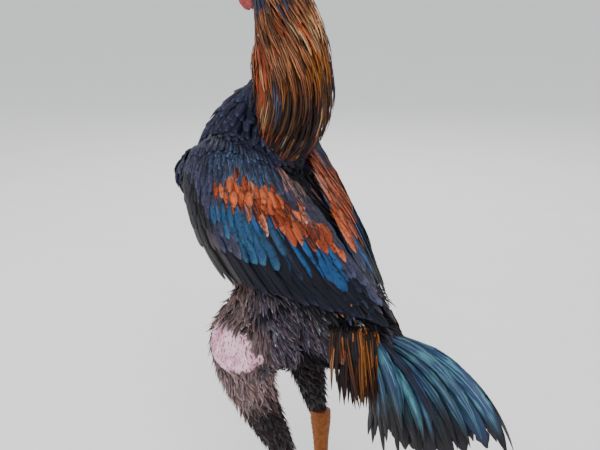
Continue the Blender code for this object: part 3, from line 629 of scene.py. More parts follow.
def ring_lump(name, middle, way, radius, thick):
    """A ring of flesh about a way out of the head."""
    deselect()
    bpy.ops.mesh.primitive_torus_add(
        location=ZERO + middle, rotation=way.to_track_quat("Z", "Y").to_euler(), major_segments=32,
        minor_segments=12, major_radius=radius, minor_radius=thick,
    )
    made = bpy.context.object
    made.name = name
    settled(made)
    at_rest(made)
    return made


face = [
    lofted("skull", HEAD, UP, steps=4),
    lofted("throat", THROAT, BACK, steps=4),
    lofted("dewlap", DEWLAP, BACK, steps=4, sides=16),
]
for side in SIDES:
    eye = on_side(EYE_LEFT, side)
    lean = on_side(LID_LEAN, side).normalized()
    face.append(ring_lump("lids", eye + lean * EYE_RADIUS * LID_OUT, lean, LID_RADIUS, LID_THICK))
    face.append(ball("brow", eye + on_side(BROW_FROM_EYE, side), BROW_HALF))
    face.append(ball("cheek", on_side(CHEEK_AT, side), CHEEK_HALF))
    face.append(ring_lump("ear_rim", on_side(EAR_AT, side), on_side((0, 1, 0), side), EAR_RADIUS, EAR_RIM))
    face.append(ball("gape", on_side(GAPE_AT, side), GAPE_HALF))
skin = remeshed("skin", face, HEAD_VOXEL, smooth=3)
print("head", triangles(skin), "triangles")


# %% One skin, with its sockets cut
SOCKET_RADIUS = EYE_RADIUS + 0.0002


def boolean(obj, other, operation):
    applied(obj, "BOOLEAN", object=other, operation=operation, solver="MANIFOLD")
    bpy.data.objects.remove(other)


boolean(skin, body_skin, "UNION")
for side in SIDES:
    socket = ball("socket", on_side(EYE_LEFT, side), [SOCKET_RADIUS] * 3, sides=32, rings=24)
    boolean(skin, socket, "DIFFERENCE")
    hole = ball("ear_hole", on_side(EAR_AT, side), EAR_HOLE_HALF)
    boolean(skin, hole, "DIFFERENCE")
print("one skin of", triangles(skin), "triangles")

# %% [markdown]
# ## Folds of the bare face
#
# The bare skin is not smooth. It has fine creases that run round the eye, a pebbled cheek, and slack
# folds across the throat. They could be bump alone, but then the outline would stay smooth, so each
# vertex of the face is moved along its normal by a sum of noises, deeper on the throat.

# %% Moving the skin into folds
FACE_FOLD = 0.00045
THROAT_FOLD = 0.0013
PEBBLES_EACH_METRE = 420
FOLDS_EACH_METRE = 150
# The creases round the eye: how close, how much they waver, and where they are deepest and how wide.
CREASES_EACH_METRE = 2600
CREASE_WAVER = 2.2
CREASE_WAVERS_EACH_METRE = 260
CREASE_FROM_EYE = 0.011
CREASE_WIDTH = 0.0035
FACE_FROM_X = 0.034
FACE_FROM_Z = 0.738
THROAT_FROM_Z = 0.790
BARE_PATCH = ((0.012, 0.122, 0.332), (0.062, 0.062, 0.044))


def points_of(obj):
    values = np.empty(len(obj.data.vertices) * 3, np.float32)
    obj.data.vertices.foreach_get("co", values)
    return values.reshape(-1, 3).astype(float)


def move_to(obj, points):
    """Puts the vertices of a mesh at new places."""
    obj.data.vertices.foreach_set("co", np.asarray(points, np.float32).ravel())
    obj.data.update()


def tell(mesh, name, values):
    """Lets each vertex of a mesh keep a number or a vector, which its finish can read."""
    is_vector = np.ndim(values) == 2
    attribute = mesh.attributes.new(name, "FLOAT_VECTOR" if is_vector else "FLOAT", "POINT")
    attribute.data.foreach_set("vector" if is_vector else "value", np.asarray(values, np.float32).ravel())


def normals_of(obj):
    """The way out at each vertex, summed from its faces in a fixed order, so that each run gives the same."""
    obj.data.calc_loop_triangles()
    corners = np.empty(len(obj.data.loop_triangles) * 3, np.int32)
    obj.data.loop_triangles.foreach_get("vertices", corners)
    points, sums = points_of(obj), np.zeros((len(obj.data.vertices), 3))
    a, b, c = corners.reshape(-1, 3).T
    out = np.cross(points[b] - points[a], points[c] - points[a])
    for corner in (a, b, c):
        np.add.at(sums, corner, out)
    return unit(sums)


def soft_step(values, low, high):
    """0 at the low value and 1 at the high one, softly in between."""
    t = np.clip((values - low) / (high - low), 0, 1)
    return t * t * (3 - 2 * t)


def near(points, middle, reach):
    """1 at a place of the bird and 0 past its reach, the reach being one size or three."""
    gap = np.linalg.norm((points - np.array(middle)) / np.array(reach), axis=-1)
    return 1 - soft_step(gap, 0.55, 1.0)


skin_points = points_of(skin) - ZERO_ROW
skin_ways = normals_of(skin)
bare_face = soft_step(skin_points[:, 0], FACE_FROM_X, FACE_FROM_X + 0.008)
bare_face *= soft_step(skin_points[:, 2], FACE_FROM_Z, FACE_FROM_Z + 0.010)
on_throat = bare_face * (1 - soft_step(skin_points[:, 2], THROAT_FROM_Z, THROAT_FROM_Z + 0.012))
round_eye = np.min([
    np.linalg.norm(skin_points - np.array(on_side(EYE_LEFT, side)), axis=1) for side in SIDES
], axis=0)
moves = np.zeros(len(skin_points))
moves += near(skin_points, *BARE_PATCH) * LEG_COAT_DEPTH
for i in np.flatnonzero(bare_face > 0.01):
    spot = Vector(skin_points[i])
    pebble = noise.turbulence(spot * PEBBLES_EACH_METRE, 3, False)
    fold = abs(noise.noise(Vector((spot.x * 0.45, spot.y * 0.45, spot.z)) * FOLDS_EACH_METRE))
    waver = CREASE_WAVER * noise.noise(spot * CREASE_WAVERS_EACH_METRE)
    crease = math.sin(round_eye[i] * CREASES_EACH_METRE + waver)
    crease *= math.exp(-((round_eye[i] - CREASE_FROM_EYE) / CREASE_WIDTH) ** 2)
    moves[i] += bare_face[i] * FACE_FOLD * (pebble - 0.5 + 0.5 * crease)
    moves[i] += on_throat[i] * THROAT_FOLD * (0.30 - fold * 1.6)
skin_points += skin_ways * moves[:, None]
move_to(skin, skin_points + ZERO_ROW)
pick(skin)
bpy.ops.object.shade_smooth()
print("folds from", round(moves.min() * 1000, 2), "to", round(moves.max() * 1000, 2), "mm")

# %% [markdown]
# ## A map of the skin
#
# A baked finish needs a flat map of the skin. The skin is unwrapped by Smart UV Project, which lays it
# out in patches by the way that they face. Each feather is later given a tiny patch of the same map, at
# the place where it is rooted, so that it bakes the colour that belongs there.

# %% Unwrapping
MAP_NAME = "OFBake"
while skin.data.uv_layers:
    skin.data.uv_layers.remove(skin.data.uv_layers[0])
skin.data.uv_layers.new(name=MAP_NAME)
pick(skin)
bpy.ops.object.mode_set(mode="EDIT")
bpy.ops.mesh.select_all(action="SELECT")
bpy.ops.uv.smart_project(angle_limit=math.radians(66), island_margin=0.002)
bpy.ops.object.mode_set(mode="OBJECT")
loop_vertex = np.empty(len(skin.data.loops), np.int32)
skin.data.loops.foreach_get("vertex_index", loop_vertex)
loop_spot = np.empty(len(skin.data.loops) * 2, np.float32)
skin.data.uv_layers[MAP_NAME].data.foreach_get("uv", loop_spot)
skin_spots = np.zeros((len(skin.data.vertices), 2), np.float32)
skin_spots[loop_vertex] = loop_spot.reshape(-1, 2)
skin_ways = normals_of(skin)
skin_finder = KDTree(len(skin_points))
for i, point in enumerate(skin_points):
    skin_finder.insert(point, i)
skin_finder.balance()


def skin_below(points):
    """For each point, the number of the nearest vertex of the skin."""
    return np.array([skin_finder.find(point)[1] for point in points])


print("the map runs from", skin_spots.min(0).round(2), "to", skin_spots.max(0).round(2))

# %% [markdown]
# ## Eyes
#
# The eye of this breed is pale, like pearl, with a black pupil and a thin dark edge to the iris. A flat disc
# would look painted, so the eye is a whole ball in its socket, and its front swells a little as a cornea
# does. Each vertex keeps how far it is from the line of sight and on which side of it, and the finish draws
# pupil, iris and rays from those two.

# %% Eyeballs
GAZE = (0.20, 1.0, 0.05)
CORNEA_SWELL = 0.055
CORNEA_FROM, CORNEA_TO = 22, 42

eye_finish = Finish("wet_eye", Roughness=0.06, Coat_Weight=1.0, Coat_Roughness=0.02)
from_sight = eye_finish.told("from_sight", outlet=2)
round_sight = eye_finish.told("round_sight")
rays = eye_finish.noise(round_sight, 7.0, detail=4.0)
iris = eye_finish.mix(paint(232, 220, 188), paint(196, 156, 98), rays.ramp(0.42, 0.66))
iris = eye_finish.mix(paint(150, 104, 58), iris, from_sight.ramp(1.5, 2.3))
iris = eye_finish.mix(iris, paint(70, 48, 34), from_sight.ramp(3.5, 4.1))
iris = eye_finish.mix(iris, paint(206, 186, 170), from_sight.ramp(4.5, 5.0))
eye_finish.out("Base Color", eye_finish.mix(paint(10, 9, 10), iris, from_sight.ramp(1.45, 1.65)))
eye_finish.bump(rays * from_sight.ramp(1.6, 2.2), 0.00008)
for side in SIDES:
    sight = on_side(GAZE, side).normalized()
    middle = on_side(EYE_LEFT, side)
    deselect()
    bpy.ops.mesh.primitive_uv_sphere_add(
        segments=64, ring_count=48, radius=EYE_RADIUS, location=ZERO + middle,
        rotation=sight.to_track_quat("Z", "Y").to_euler(),
    )
    eyeball = bpy.context.object
    eyeball.name = "eyeball_" + side
    settled(eyeball)
    at_rest(eyeball)
    from_middle = points_of(eyeball) - np.array(ZERO + middle)
    ahead = from_middle @ np.array(sight)
    aside = from_middle - ahead[:, None] * np.array(sight)
    angle = np.degrees(np.arctan2(np.linalg.norm(aside, axis=1), ahead))
    swollen = from_middle * (1 + CORNEA_SWELL * (1 - soft_step(angle, CORNEA_FROM, CORNEA_TO)))[:, None]
    move_to(eyeball, swollen + np.array(ZERO + middle))
    millimetres = np.linalg.norm(aside, axis=1) * 1000
    millimetres[ahead < 0] = 2 * EYE_RADIUS * 1000 - millimetres[ahead < 0]
    tell(eyeball.data, "from_sight", millimetres)
    tell(eyeball.data, "round_sight", unit(aside))
    eyeball.data.materials.append(eye_finish.material)
    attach(eyeball, "root")
    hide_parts("eye_" + side)
    print(eyeball.name, triangles(eyeball), "triangles")

# %% [markdown]
# ## The beak
#
# The beak is short, stout and hooked, of yellow horn with a darker ridge. Both halves are lofts: the upper
# one curves down over the lower and ends in a point, and its side walls stand out over the lower one's, so
# the mouth shows as a real shadow line. The nostrils are cut with a thin slanting ball, and a ridge of horn
# lies over each, as on the bird.

# %% Beak
BEAK_UPPER = [
    (0.080, 0, 0.8105, 0.0088, 0.0036, 0.0088),
    (0.088, 0, 0.8112, 0.0092, 0.0042, 0.0092),
    (0.096, 0, 0.8114, 0.0091, 0.0046, 0.0087),
    (0.102, 0, 0.8104, 0.0086, 0.0048, 0.0079),
    (0.1075, 0, 0.8088, 0.0078, 0.0048, 0.0070),
    (0.1125, 0, 0.8064, 0.0065, 0.0046, 0.0058),
    (0.1170, 0, 0.8034, 0.0050, 0.0042, 0.0044),
    (0.1205, 0, 0.7998, 0.0034, 0.0036, 0.0031),
    (0.1226, 0, 0.7962, 0.0018, 0.0022, 0.0017),
    (0.1234, 0, 0.7938, 0.0006, 0.0008, 0.0006),
]
BEAK_LOWER = [
    (0.080, 0, 0.8030, 0.0030, 0.0066, 0.0078),
    (0.090, 0, 0.8031, 0.0036, 0.0066, 0.0076),
    (0.098, 0, 0.8028, 0.0036, 0.0060, 0.0068),
    (0.105, 0, 0.8018, 0.0034, 0.0052, 0.0057),
    (0.111, 0, 0.8004, 0.0030, 0.0040, 0.0043),
    (0.1155, 0, 0.7988, 0.0020, 0.0024, 0.0026),
    (0.1172, 0, 0.7980, 0.0006, 0.0008, 0.0008),
]
NOSTRIL_AT = (0.1005, 0.0086, 0.8128)
NOSTRIL_HALF = (0.0026, 0.0022, 0.0008)
NOSTRIL_TURN = (0, 0.30, 0)
NOSTRIL_RIDGE = (0.0040, 0.0016, 0.0011)
RIDGE_FROM_NOSTRIL = Vector((-0.0004, -0.0010, 0.0016))
BEAK_VOXEL = 0.00042

beak_finish = Finish(
    "beak_horn", Roughness=0.34, Coat_Roughness=0.2, Subsurface_Weight=0.08, Subsurface_Scale=0.003
)
spot = beak_finish.place()
streaks = beak_finish.noise(spot, 60.0, stretch=(1.0, 7.0, 7.0))
ridge = spot.part(2).ramp(ZERO.z + 0.806, ZERO.z + 0.820)
ridge = ridge * (1 - spot.part(0).ramp(ZERO.x + 0.104, ZERO.x + 0.120))
horn = beak_finish.mix(paint(214, 174, 108), paint(184, 134, 74), streaks.ramp(0.35, 0.65))
horn = beak_finish.mix(horn, paint(104, 66, 42), (ridge * 0.75 * (0.5 + streaks)).clamped())
scratches = beak_finish.noise(spot, 240.0, stretch=(0.35, 2.0, 2.0))
beak_finish.out("Base Color", horn)
beak_finish.out("Roughness", 0.26 + scratches * 0.22)
beak_finish.out("Coat Weight", 0.25 + streaks * 0.3)
beak_finish.bump(scratches + streaks * 0.5, 0.00022)


def finished(piece, finish, slot, *nodes):
    """Gives a piece its only material and its body, and hides the solids it stands for. The slot is not used.
    """
    piece.data.materials.clear()
    piece.data.materials.append(finish.material)
    pick(piece)
    bpy.ops.object.shade_smooth()
    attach(piece, "root")
    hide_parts(*nodes)
    print(piece.name, triangles(piece), "triangles")


upper = [lofted("upper_horn", BEAK_UPPER, UP, steps=3, sides=32)]
for side in SIDES:
    ridge_at = Vector(NOSTRIL_AT) + RIDGE_FROM_NOSTRIL
    upper.append(ball("ridge", on_side(ridge_at, side), NOSTRIL_RIDGE, NOSTRIL_TURN))
upper_horn = remeshed("upper_horn", upper, BEAK_VOXEL, smooth=3)
for side in SIDES:
    nostril = ball("nostril", on_side(NOSTRIL_AT, side), NOSTRIL_HALF, NOSTRIL_TURN)
    boolean(upper_horn, nostril, "DIFFERENCE")
finished(upper_horn, beak_finish, "beak_horn", "beak_upper")
lower_horn = lofted("lower_horn", BEAK_LOWER, UP, steps=4, sides=32)
finished(lower_horn, beak_finish, "beak_horn", "beak_lower")

# %% [markdown]
# ## Comb, wattles and earlobes
#
# The comb is of the strawberry kind: a low cushion of small round grains, set well forward. The grains are
# balls, spread over the cushion by the golden angle, and a fine remesh melts them together at their feet.
# Wattles and earlobes are small, creased flaps. They are lofted, given small voxels, and creased by noise
# like the throat behind them.

# %% Red flesh of the comb and the flaps
COMB_AT = Vector((0.0760, 0, 0.8375))
COMB_HALF = Vector((0.0160, 0.0106, 0.0080))
COMB_GRAINS = 54
COMB_GRAIN = 0.0027
FLESH_VOXEL = 0.00062
WATTLE = [
    (0.0835, 0.0085, 0.7985, 0.0026, 0.0026, 0.0020),
    (0.0830, 0.0098, 0.7945, 0.0050, 0.0046, 0.0028),
    (0.0822, 0.0106, 0.7890, 0.0060, 0.0056, 0.0032),
    (0.0815, 0.0108, 0.7835, 0.0052, 0.0048, 0.0030),
    (0.0812, 0.0106, 0.7800, 0.0030, 0.0028, 0.0020),
    (0.0812, 0.0104, 0.7788, 0.0008, 0.0008, 0.0008),
]
EARLOBE = [
    (0.0460, 0.0200, 0.8070, 0.0030, 0.0030, 0.0024),
    (0.0466, 0.0215, 0.8040, 0.0056, 0.0054, 0.0034),
    (0.0470, 0.0225, 0.7985, 0.0064, 0.0062, 0.0038),
    (0.0474, 0.0222, 0.7930, 0.0048, 0.0046, 0.0030),
    (0.0476, 0.0216, 0.7902, 0.0018, 0.0018, 0.0014),
]
GOLDEN_ANGLE = 137.508
# The creases of the comb and of the flaps: how deep, and how many to the metre.
COMB_CREASE = (0.00045, 520)
FLAP_CREASE = (0.0011, 330)

flesh_finish = Finish(
    "red_flesh", Roughness=0.42, Coat_Roughness=0.3, Subsurface_Weight=0.12, Subsurface_Scale=0.004
)
spot = flesh_finish.place()
deep = flesh_finish.told("deep", outlet=2)
mottle = flesh_finish.noise(spot, 220.0)
grains = flesh_finish.cells(spot, 900.0)
red = flesh_finish.mix(paint(168, 34, 33), paint(130, 24, 28), mottle.ramp(0.40, 0.66))
red = flesh_finish.mix(red, paint(212, 84, 72), (1 - deep) * 0.30 * grains.ramp(0.1, 0.3))
# Deep creases and the gaps between the grains are darkened: painted shade.
flesh_finish.out("Base Color", flesh_finish.mix(red, paint(84, 12, 18), deep * 0.85))
flesh_finish.out("Roughness", (0.34 + mottle * 0.2 + deep * 0.2).clamped())
flesh_finish.out("Coat Weight", 0.2 + (1 - deep) * 0.15)
flesh_finish.bump(grains.ramp(0.0, 0.3) * 0.7 + mottle * 0.5, 0.00022)


def creased(obj, depth, each_metre, hollow):
    """Moves a small flap into folds and remembers how deep each point lies, for painted shade in the finish.
    """
    points, ways = points_of(obj), normals_of(obj)
    folds = np.array([abs(noise.noise(Vector((p[0], p[1], p[2] * 0.5)) * each_metre)) for p in points])
    grain = np.array([noise.turbulence(Vector(p) * 700, 2, False) for p in points])
    move = depth * (0.22 - folds) + depth * 0.14 * (grain - 0.5)
    move_to(obj, points + ways * move[:, None])
    tell(obj.data, "deep", np.clip(hollow(points, folds), 0, 1))


grains_of_comb = [ball("cushion", COMB_AT, COMB_HALF * 0.86)]
for i in range(COMB_GRAINS):
    height = 1 - 1.25 * (i + 0.5) / COMB_GRAINS
    turn = i * math.radians(GOLDEN_ANGLE)
    level = math.sqrt(1 - height * height)
    way = Vector((math.cos(turn) * level, math.sin(turn) * level, height))
    middle = COMB_AT + Vector(way[k] * (COMB_HALF[k] - COMB_GRAIN * 0.72) for k in range(3))
    size = COMB_GRAIN * (1.0 + 0.22 * math.sin(i * 2.4))
    grains_of_comb.append(ball("grain", middle, (size, size, size), sides=16, rings=10))
comb_cushion = remeshed("comb_cushion", grains_of_comb, FLESH_VOXEL, smooth=2)


def between_grains(points, folds):
    share = (points - np.array(ZERO + COMB_AT)) / np.array(COMB_HALF)
    return soft_step(np.linalg.norm(share, axis=1), 1.00, 0.80)


creased(comb_cushion, *COMB_CREASE, between_grains)
finished(comb_cushion, flesh_finish, "comb_skin", "comb")
for name, rings in (("wattle", WATTLE), ("earlobe", EARLOBE)):
    for side, sign in SIDES.items():
        own = [(x, y * sign, z, *rest) for x, y, z, *rest in rings]
        flap = lofted("flap", own, BACK, steps=3, sides=20)
        flap = remeshed(name + "_flap_" + side, [flap], FLESH_VOXEL, smooth=1)
        creased(flap, *FLAP_CREASE, lambda points, folds: folds * 2.2 - 0.3)
        finished(flap, flesh_finish, "comb_skin", name + "_" + side)

# %% [markdown]
# ## The scaled legs
#
# Below the hock a cock's leg is bare. Two rows of broad scutes run down its front, each lapping the one
# below it. The sides and the back have small six-sided scales, and each toe has one row of scutes on top
# and soft, warty pads below. Bump alone would leave the outline smooth. So shank, sole and toes are lofted
# and made one closed mesh, and each vertex is then moved out by the profile of the scale that it lies on.
# What scale that is follows from how far along its shank or toe the vertex lies, and how far round it.

# %% Rings of the shank and the toes
SHANK_TOP = HOCK_Z + 0.006
FOOT_Z = 0.0125
SHANK_HALF = 0.0112
SHANK_SIDE = 0.0096
SOLE_AT = 0.0095
SOLE_HALF = (0.0165, 0.0140, 0.0115)
TOE_RADIUS = 0.0074
TOES = {"inner": (-34, 0.050), "middle": (2, 0.068), "outer": (36, 0.056), "hind": (168, 0.028)}
LEG_VOXEL = 0.00082
# How much the shank swells at the hock and at the foot, and over what share of its length.
HOCK_SWELL = (0.0042, 0.20)
FOOT_SWELL = (0.0018, 0.12)
SHANK_WAIST = 0.0006
SHANK_LEAN = 0.003


def shank_rings(side):
    rings = []
    for share in np.linspace(-0.05, 1, 12):
        knob = HOCK_SWELL[0] * math.exp(-((share / HOCK_SWELL[1]) ** 2))
        knob = knob + FOOT_SWELL[0] * math.exp(-(((share - 1) / FOOT_SWELL[1]) ** 2))
        waist = SHANK_WAIST * math.sin(math.pi * min(max(share, 0), 1))
        half = SHANK_HALF + knob - waist
        z = SHANK_TOP + (FOOT_Z - SHANK_TOP) * share
        x, y = HOCK_X[side] - SHANK_LEAN * share, LEG_OUT[side] * SIDES[side]
        rings.append((x, y, z, half, half, SHANK_SIDE + knob - waist))
    return rings


def foot_middle(side):
    return np.array((HOCK_X[side] + 0.001, LEG_OUT[side] * SIDES[side], 0))


def toe_way(side, turn):
    turn = math.radians(turn * SIDES[side])
    return np.array((math.cos(turn), math.sin(turn), 0))


def toe_rings(side, turn, length):
    """A toe with a swelling under each joint and a rounded end."""
    rings = []
    for share in (0, 1 / 6, 1 / 3, 1 / 2, 2 / 3, 5 / 6, 0.96, 1.03):
        radius = TOE_RADIUS * (1 - 0.34 * share) + 0.0010 * math.cos(4 * math.pi * share)
        radius *= 1 - 0.45 * max(0, share - 0.96) / 0.07
        point = foot_middle(side) + toe_way(side, turn) * length * share
        rings.append((point[0], point[1], radius * 0.84 + 0.0006, radius * 0.92, radius, radius * 0.96))
    return rings


# %% Profiles of scutes and of small scales
def scute(along, aside, length, half, shift):
    """Height and number of the scutes in one row: each rises to its lower edge and drops there."""
    number = np.floor(along / length + shift)
    t = along / length + shift - number
    lip = np.clip(t / 0.86, 0, 1) ** 1.4 * (1 - soft_step(t, 0.88, 1.0))
    side_edge = soft_step(half - np.abs(aside), 0.0, 0.0011)
    return (0.28 + 0.72 * lip) * side_edge, number


def small_scale(along, round_it, size):
    """Height and number of six-sided scales in staggered rows."""
    row = np.round(along / (size * 0.87))
    across = round_it / size + 0.5 * (row % 2)
    column = np.round(across)
    gap = np.hypot((across - column) * size, along - row * size * 0.87)
    return np.clip(1.1 - (gap / (size * 0.62)) ** 2, 0, 1), row * 37 + column


def hashed(numbers):
    """A share from 0 to 1 that looks random but is always the same for a number."""
    return np.abs(np.sin(numbers * 12.9898) * 43758.5453) % 1


# %% Moving each vertex by its scale
SCUTE_RISE = 0.00105
SCALE_RISE = 0.00060
SHANK_SCUTE = 0.0082
TOE_SCUTE = 0.0052
SHANK_SCALE = 0.0040
TOE_SCALE = 0.0027
SHANK_FROM_Z = 0.021
# How far round the shank each of its two rows of scutes lies, and half of how far it and a toe's row reach.
SCUTE_ROW_AT = math.radians(37)
SCUTE_ROW_HALF = math.radians(39)
TOE_ROW_HALF = math.radians(66)


def scaled_over(points, side):
    """For each point of a leg, how far its scale stands out and the scale's number."""
    x, y = HOCK_X[side], LEG_OUT[side] * SIDES[side]
    share = (SHANK_TOP - points[:, 2]) / (SHANK_TOP - FOOT_Z)
    gap_x, gap_y = points[:, 0] - (x - SHANK_LEAN * share), points[:, 1] - y
    on_shank = points[:, 2] > SHANK_FROM_Z
    nearest = np.where(on_shank, np.hypot(gap_x, gap_y) - SHANK_HALF, 1.0)
    turn = np.arctan2(gap_y, gap_x)
    along = share * (SHANK_TOP - FOOT_Z)
    small, small_number = small_scale(along, turn * SHANK_HALF, SHANK_SCALE)
    rises, numbers = small * SCALE_RISE, small_number
    for column, shift in ((1, 0.0), (-1, 0.5)):
        aside = (turn * column - SCUTE_ROW_AT) * SHANK_HALF
        half = SCUTE_ROW_HALF * SHANK_HALF
        tall, number = scute(along, aside, SHANK_SCUTE, half, shift)
        here = np.abs(aside) < half
        rises = np.where(here, tall * SCUTE_RISE, rises)
        numbers = np.where(here, number * 2 + column * 501, numbers)
    for k, (turn_out, _) in enumerate(TOES.values()):
        way = toe_way(side, turn_out)
        from_foot = points - foot_middle(side)
        along = from_foot @ way
        level = from_foot[:, :2] @ np.array((-way[1], way[0]))
        height = points[:, 2] - TOE_RADIUS * 0.8
        gap = np.hypot(level, height) - TOE_RADIUS + np.maximum(0, 0.004 - along) * 2
        closer = (gap < nearest) & ~on_shank
        aside = np.arctan2(level, height) * TOE_RADIUS
        small, small_number = small_scale(along, aside, TOE_SCALE)
        half = TOE_ROW_HALF * TOE_RADIUS
        tall, number = scute(along, aside, TOE_SCUTE, half, 0.0)
        top = np.abs(aside) < half
        toe_rises = np.where(top, tall * SCUTE_RISE * 0.8, small * SCALE_RISE * 0.7)
        toe_numbers = np.where(top, number + k * 71, small_number + k * 993)
        rises = np.where(closer, toe_rises, rises)
        numbers = np.where(closer, toe_numbers, numbers)
        nearest = np.where(closer, gap, nearest)
    return rises, numbers


# %% Both legs
leg_finish = Finish(
    "leg_scales", Roughness=0.5, Specular_IOR_Level=0.3, Coat_Roughness=0.35, Subsurface_Weight=0.05,
    Subsurface_Scale=0.002,
)
spot = leg_finish.place()
rise_told = leg_finish.told("rise", outlet=2)
scale_tone = leg_finish.told("scale_tone", outlet=2)
grime = leg_finish.noise(spot, 46.0)
fine = leg_finish.noise(spot, 420.0)
yellow = leg_finish.mix(paint(132, 72, 4), paint(104, 50, 2), scale_tone)
# The raised edges of the scales are paler: painted highlight, and wear.
lit_and_worn_edge = (rise_told.ramp(0.72, 1.0) * 0.45 * (0.5 + fine)).clamped()
yellow = leg_finish.mix(yellow, paint(160, 100, 20), lit_and_worn_edge)
# The grooves between the scales are darkened: painted shade.
groove = ((1 - rise_told.ramp(0.05, 0.42)) * 0.85).clamped()
yellow = leg_finish.mix(yellow, paint(54, 26, 14), groove)
yellow = leg_finish.mix(yellow, paint(104, 60, 30), grime.ramp(0.52, 0.72) * 0.45)
near_floor = 1 - spot.part(2).ramp(0.002, 0.012)
leg_finish.out("Base Color", leg_finish.mix(yellow, paint(100, 68, 46), near_floor * 0.5))
leg_finish.out("Roughness", (0.40 + fine * 0.2 + (1 - rise_told) * 0.15).clamped())
leg_finish.out("Coat Weight", rise_told * 0.10)
leg_finish.bump(fine, 0.00018)
for side in SIDES:
    parts = [lofted("shank", shank_rings(side), BACK, steps=2, sides=24)]
    parts.append(ball("sole", foot_middle(side) + UP * SOLE_AT, SOLE_HALF))
    for turn_out, length in TOES.values():
        parts.append(lofted("toe", toe_rings(side, turn_out, length), UP, steps=2, sides=20))
    leg = remeshed("scaled_leg_" + side, parts, LEG_VOXEL, smooth=6)
    points = points_of(leg) - ZERO_ROW
    rises, numbers = scaled_over(points, side)
    points = points + normals_of(leg) * rises[:, None]
    points[:, 2] = np.maximum(points[:, 2], 0.0)
    move_to(leg, points + ZERO_ROW)
    tell(leg.data, "rise", rises / SCUTE_RISE)
    tell(leg.data, "scale_tone", hashed(numbers))
    finished(leg, leg_finish, "leg_scales", "shank_" + side, "foot_" + side)

# %% [markdown]
# ## Claws and spurs
#
# Claws and spurs are horn: a claw bends down to the ground from the end of its toe, a spur stands out behind
# the shank. Both are lofts whose rings shrink faster near the point. Their horn has fine lines along it,
# is darker at the root and pale at the worn tip.

# %% Claws and spurs
CLAW_LENGTH = 0.017
CLAW_RADIUS = 0.0034
SPUR_LENGTH = 0.024
SPUR_RADIUS = 0.0050
SPUR_Z = 0.062
SPUR_RISE = 0.006
# How deep a claw is rooted in its toe, and how high it leaves it and how far it bends down.
CLAW_ROOT = 0.0035
CLAW_Z = 0.0066
CLAW_BEND = 0.0058

claw_finish = Finish(
    "claw_horn", Roughness=0.36, Coat_Roughness=0.25, Subsurface_Weight=0.06, Subsurface_Scale=0.002
)
spot = claw_finish.place()
from_root = claw_finish.told("from_root", outlet=2)
lines = claw_finish.noise(spot, 620.0, stretch=(0.5, 1.0, 1.0))
horn = claw_finish.mix(paint(108, 74, 50), paint(196, 156, 108), (from_root + (lines - 0.5) * 0.5).clamped())
claw_finish.out("Base Color", claw_finish.mix(horn, paint(72, 50, 38), lines.ramp(0.56, 0.70) * 0.5))
claw_finish.out("Roughness", 0.28 + lines * 0.25)
claw_finish.out("Coat Weight", 0.2 + from_root * 0.3)
claw_finish.bump(lines, 0.00016)


def horned(name, rings, dorsal, root, length, node):
    """A horn lofted from its rings, which knows how far each of its points is from its root."""
    horn = lofted(name, rings, dorsal, steps=2, sides=20)
    points = points_of(horn) - ZERO_ROW
    share = np.linalg.norm(points - np.array(root), axis=1) / length
    points[:, 2] = np.maximum(points[:, 2], 0.0)
    move_to(horn, points + ZERO_ROW)
    tell(horn.data, "from_root", np.clip(share, 0, 1))
    finished(horn, claw_finish, "claw_horn", node)


for side, sign in SIDES.items():
    for toe, (turn_out, length) in TOES.items():
        way = toe_way(side, turn_out)
        root = foot_middle(side) + way * (length - CLAW_ROOT)
        rings = []
        for share in np.linspace(0, 1, 8):
            size = CLAW_RADIUS * (1 - share) ** 0.62 + 0.0003
            point = root + way * CLAW_LENGTH * share
            height = CLAW_Z - CLAW_BEND * share**2
            rings.append((point[0], point[1], height, size * 1.1, size * 0.9, size * 0.8))
        horned(f"horn_claw_{toe}_{side}", rings, UP, root, CLAW_LENGTH, f"claw_{toe}_{side}")
    inward = np.array((-0.80, -0.60 * sign, 0.0))
    root = foot_middle(side) + inward * 0.007 + UP * SPUR_Z
    rings = []
    for share in np.linspace(0, 1, 8):
        size = SPUR_RADIUS * (1 - share) ** 0.70 + 0.0004
        point = root + inward * SPUR_LENGTH * share + UP * SPUR_RISE * share**2
        rings.append((*point, size, size, size))
    horned("horn_spur_" + side, rings, UP, root, SPUR_LENGTH, "spur_" + side)

# %% [markdown]
# ## How a feather is built
#
# A coat of feathers could be hair curves, or one feather copied by a scatter, but neither can be written
# out as a plain mesh. Here feathers are computed many at once, as arrays. Each is a thin closed blade: a
# spine from root to tip, a width at each point of it, and at each point a flat ring of corners, a little
# higher in the middle where the shaft runs. Small feathers have rings of four corners and large ones of
# twelve, so that their webs can bow and split.
#
# Each corner also knows where it is on its feather: how far along, how far across, and how many
# millimetres from the root. The finish draws the shaft, the barbs and the coloured rim from that.

# %% Outlines of feathers
# Half widths along a feather, as pairs of share of its length and share of its greatest half width.
OUTLINES = {
    "lancet": [(0, 0.42), (0.25, 0.95), (0.42, 1.0), (0.70, 0.66), (0.90, 0.26), (1, 0.02)],
    "long_lancet": [(0, 0.45), (0.20, 0.90), (0.50, 1.0), (0.80, 0.70), (0.94, 0.30), (1, 0.02)],
    "round": [(0, 0.40), (0.30, 0.90), (0.60, 1.0), (0.82, 0.86), (0.94, 0.52), (1, 0.10)],
    "broad": [(0, 0.45), (0.25, 0.90), (0.60, 1.0), (0.86, 0.90), (0.96, 0.55), (1, 0.12)],
    "blade": [(0, 0.40), (0.15, 0.80), (0.45, 1.0), (0.80, 0.94), (0.93, 0.66), (1, 0.10)],
    "sickle": [(0, 0.45), (0.25, 0.90), (0.50, 1.0), (0.75, 0.80), (0.90, 0.46), (1, 0.03)],
    "spiky": [(0, 0.50), (0.25, 1.0), (0.50, 0.80), (0.75, 0.46), (1, 0.02)],
}


def steps_along(count):
    """Shares of a feather's length, closer together near its tip."""
    return 1 - (1 - np.linspace(0, 1, count)) ** 1.35


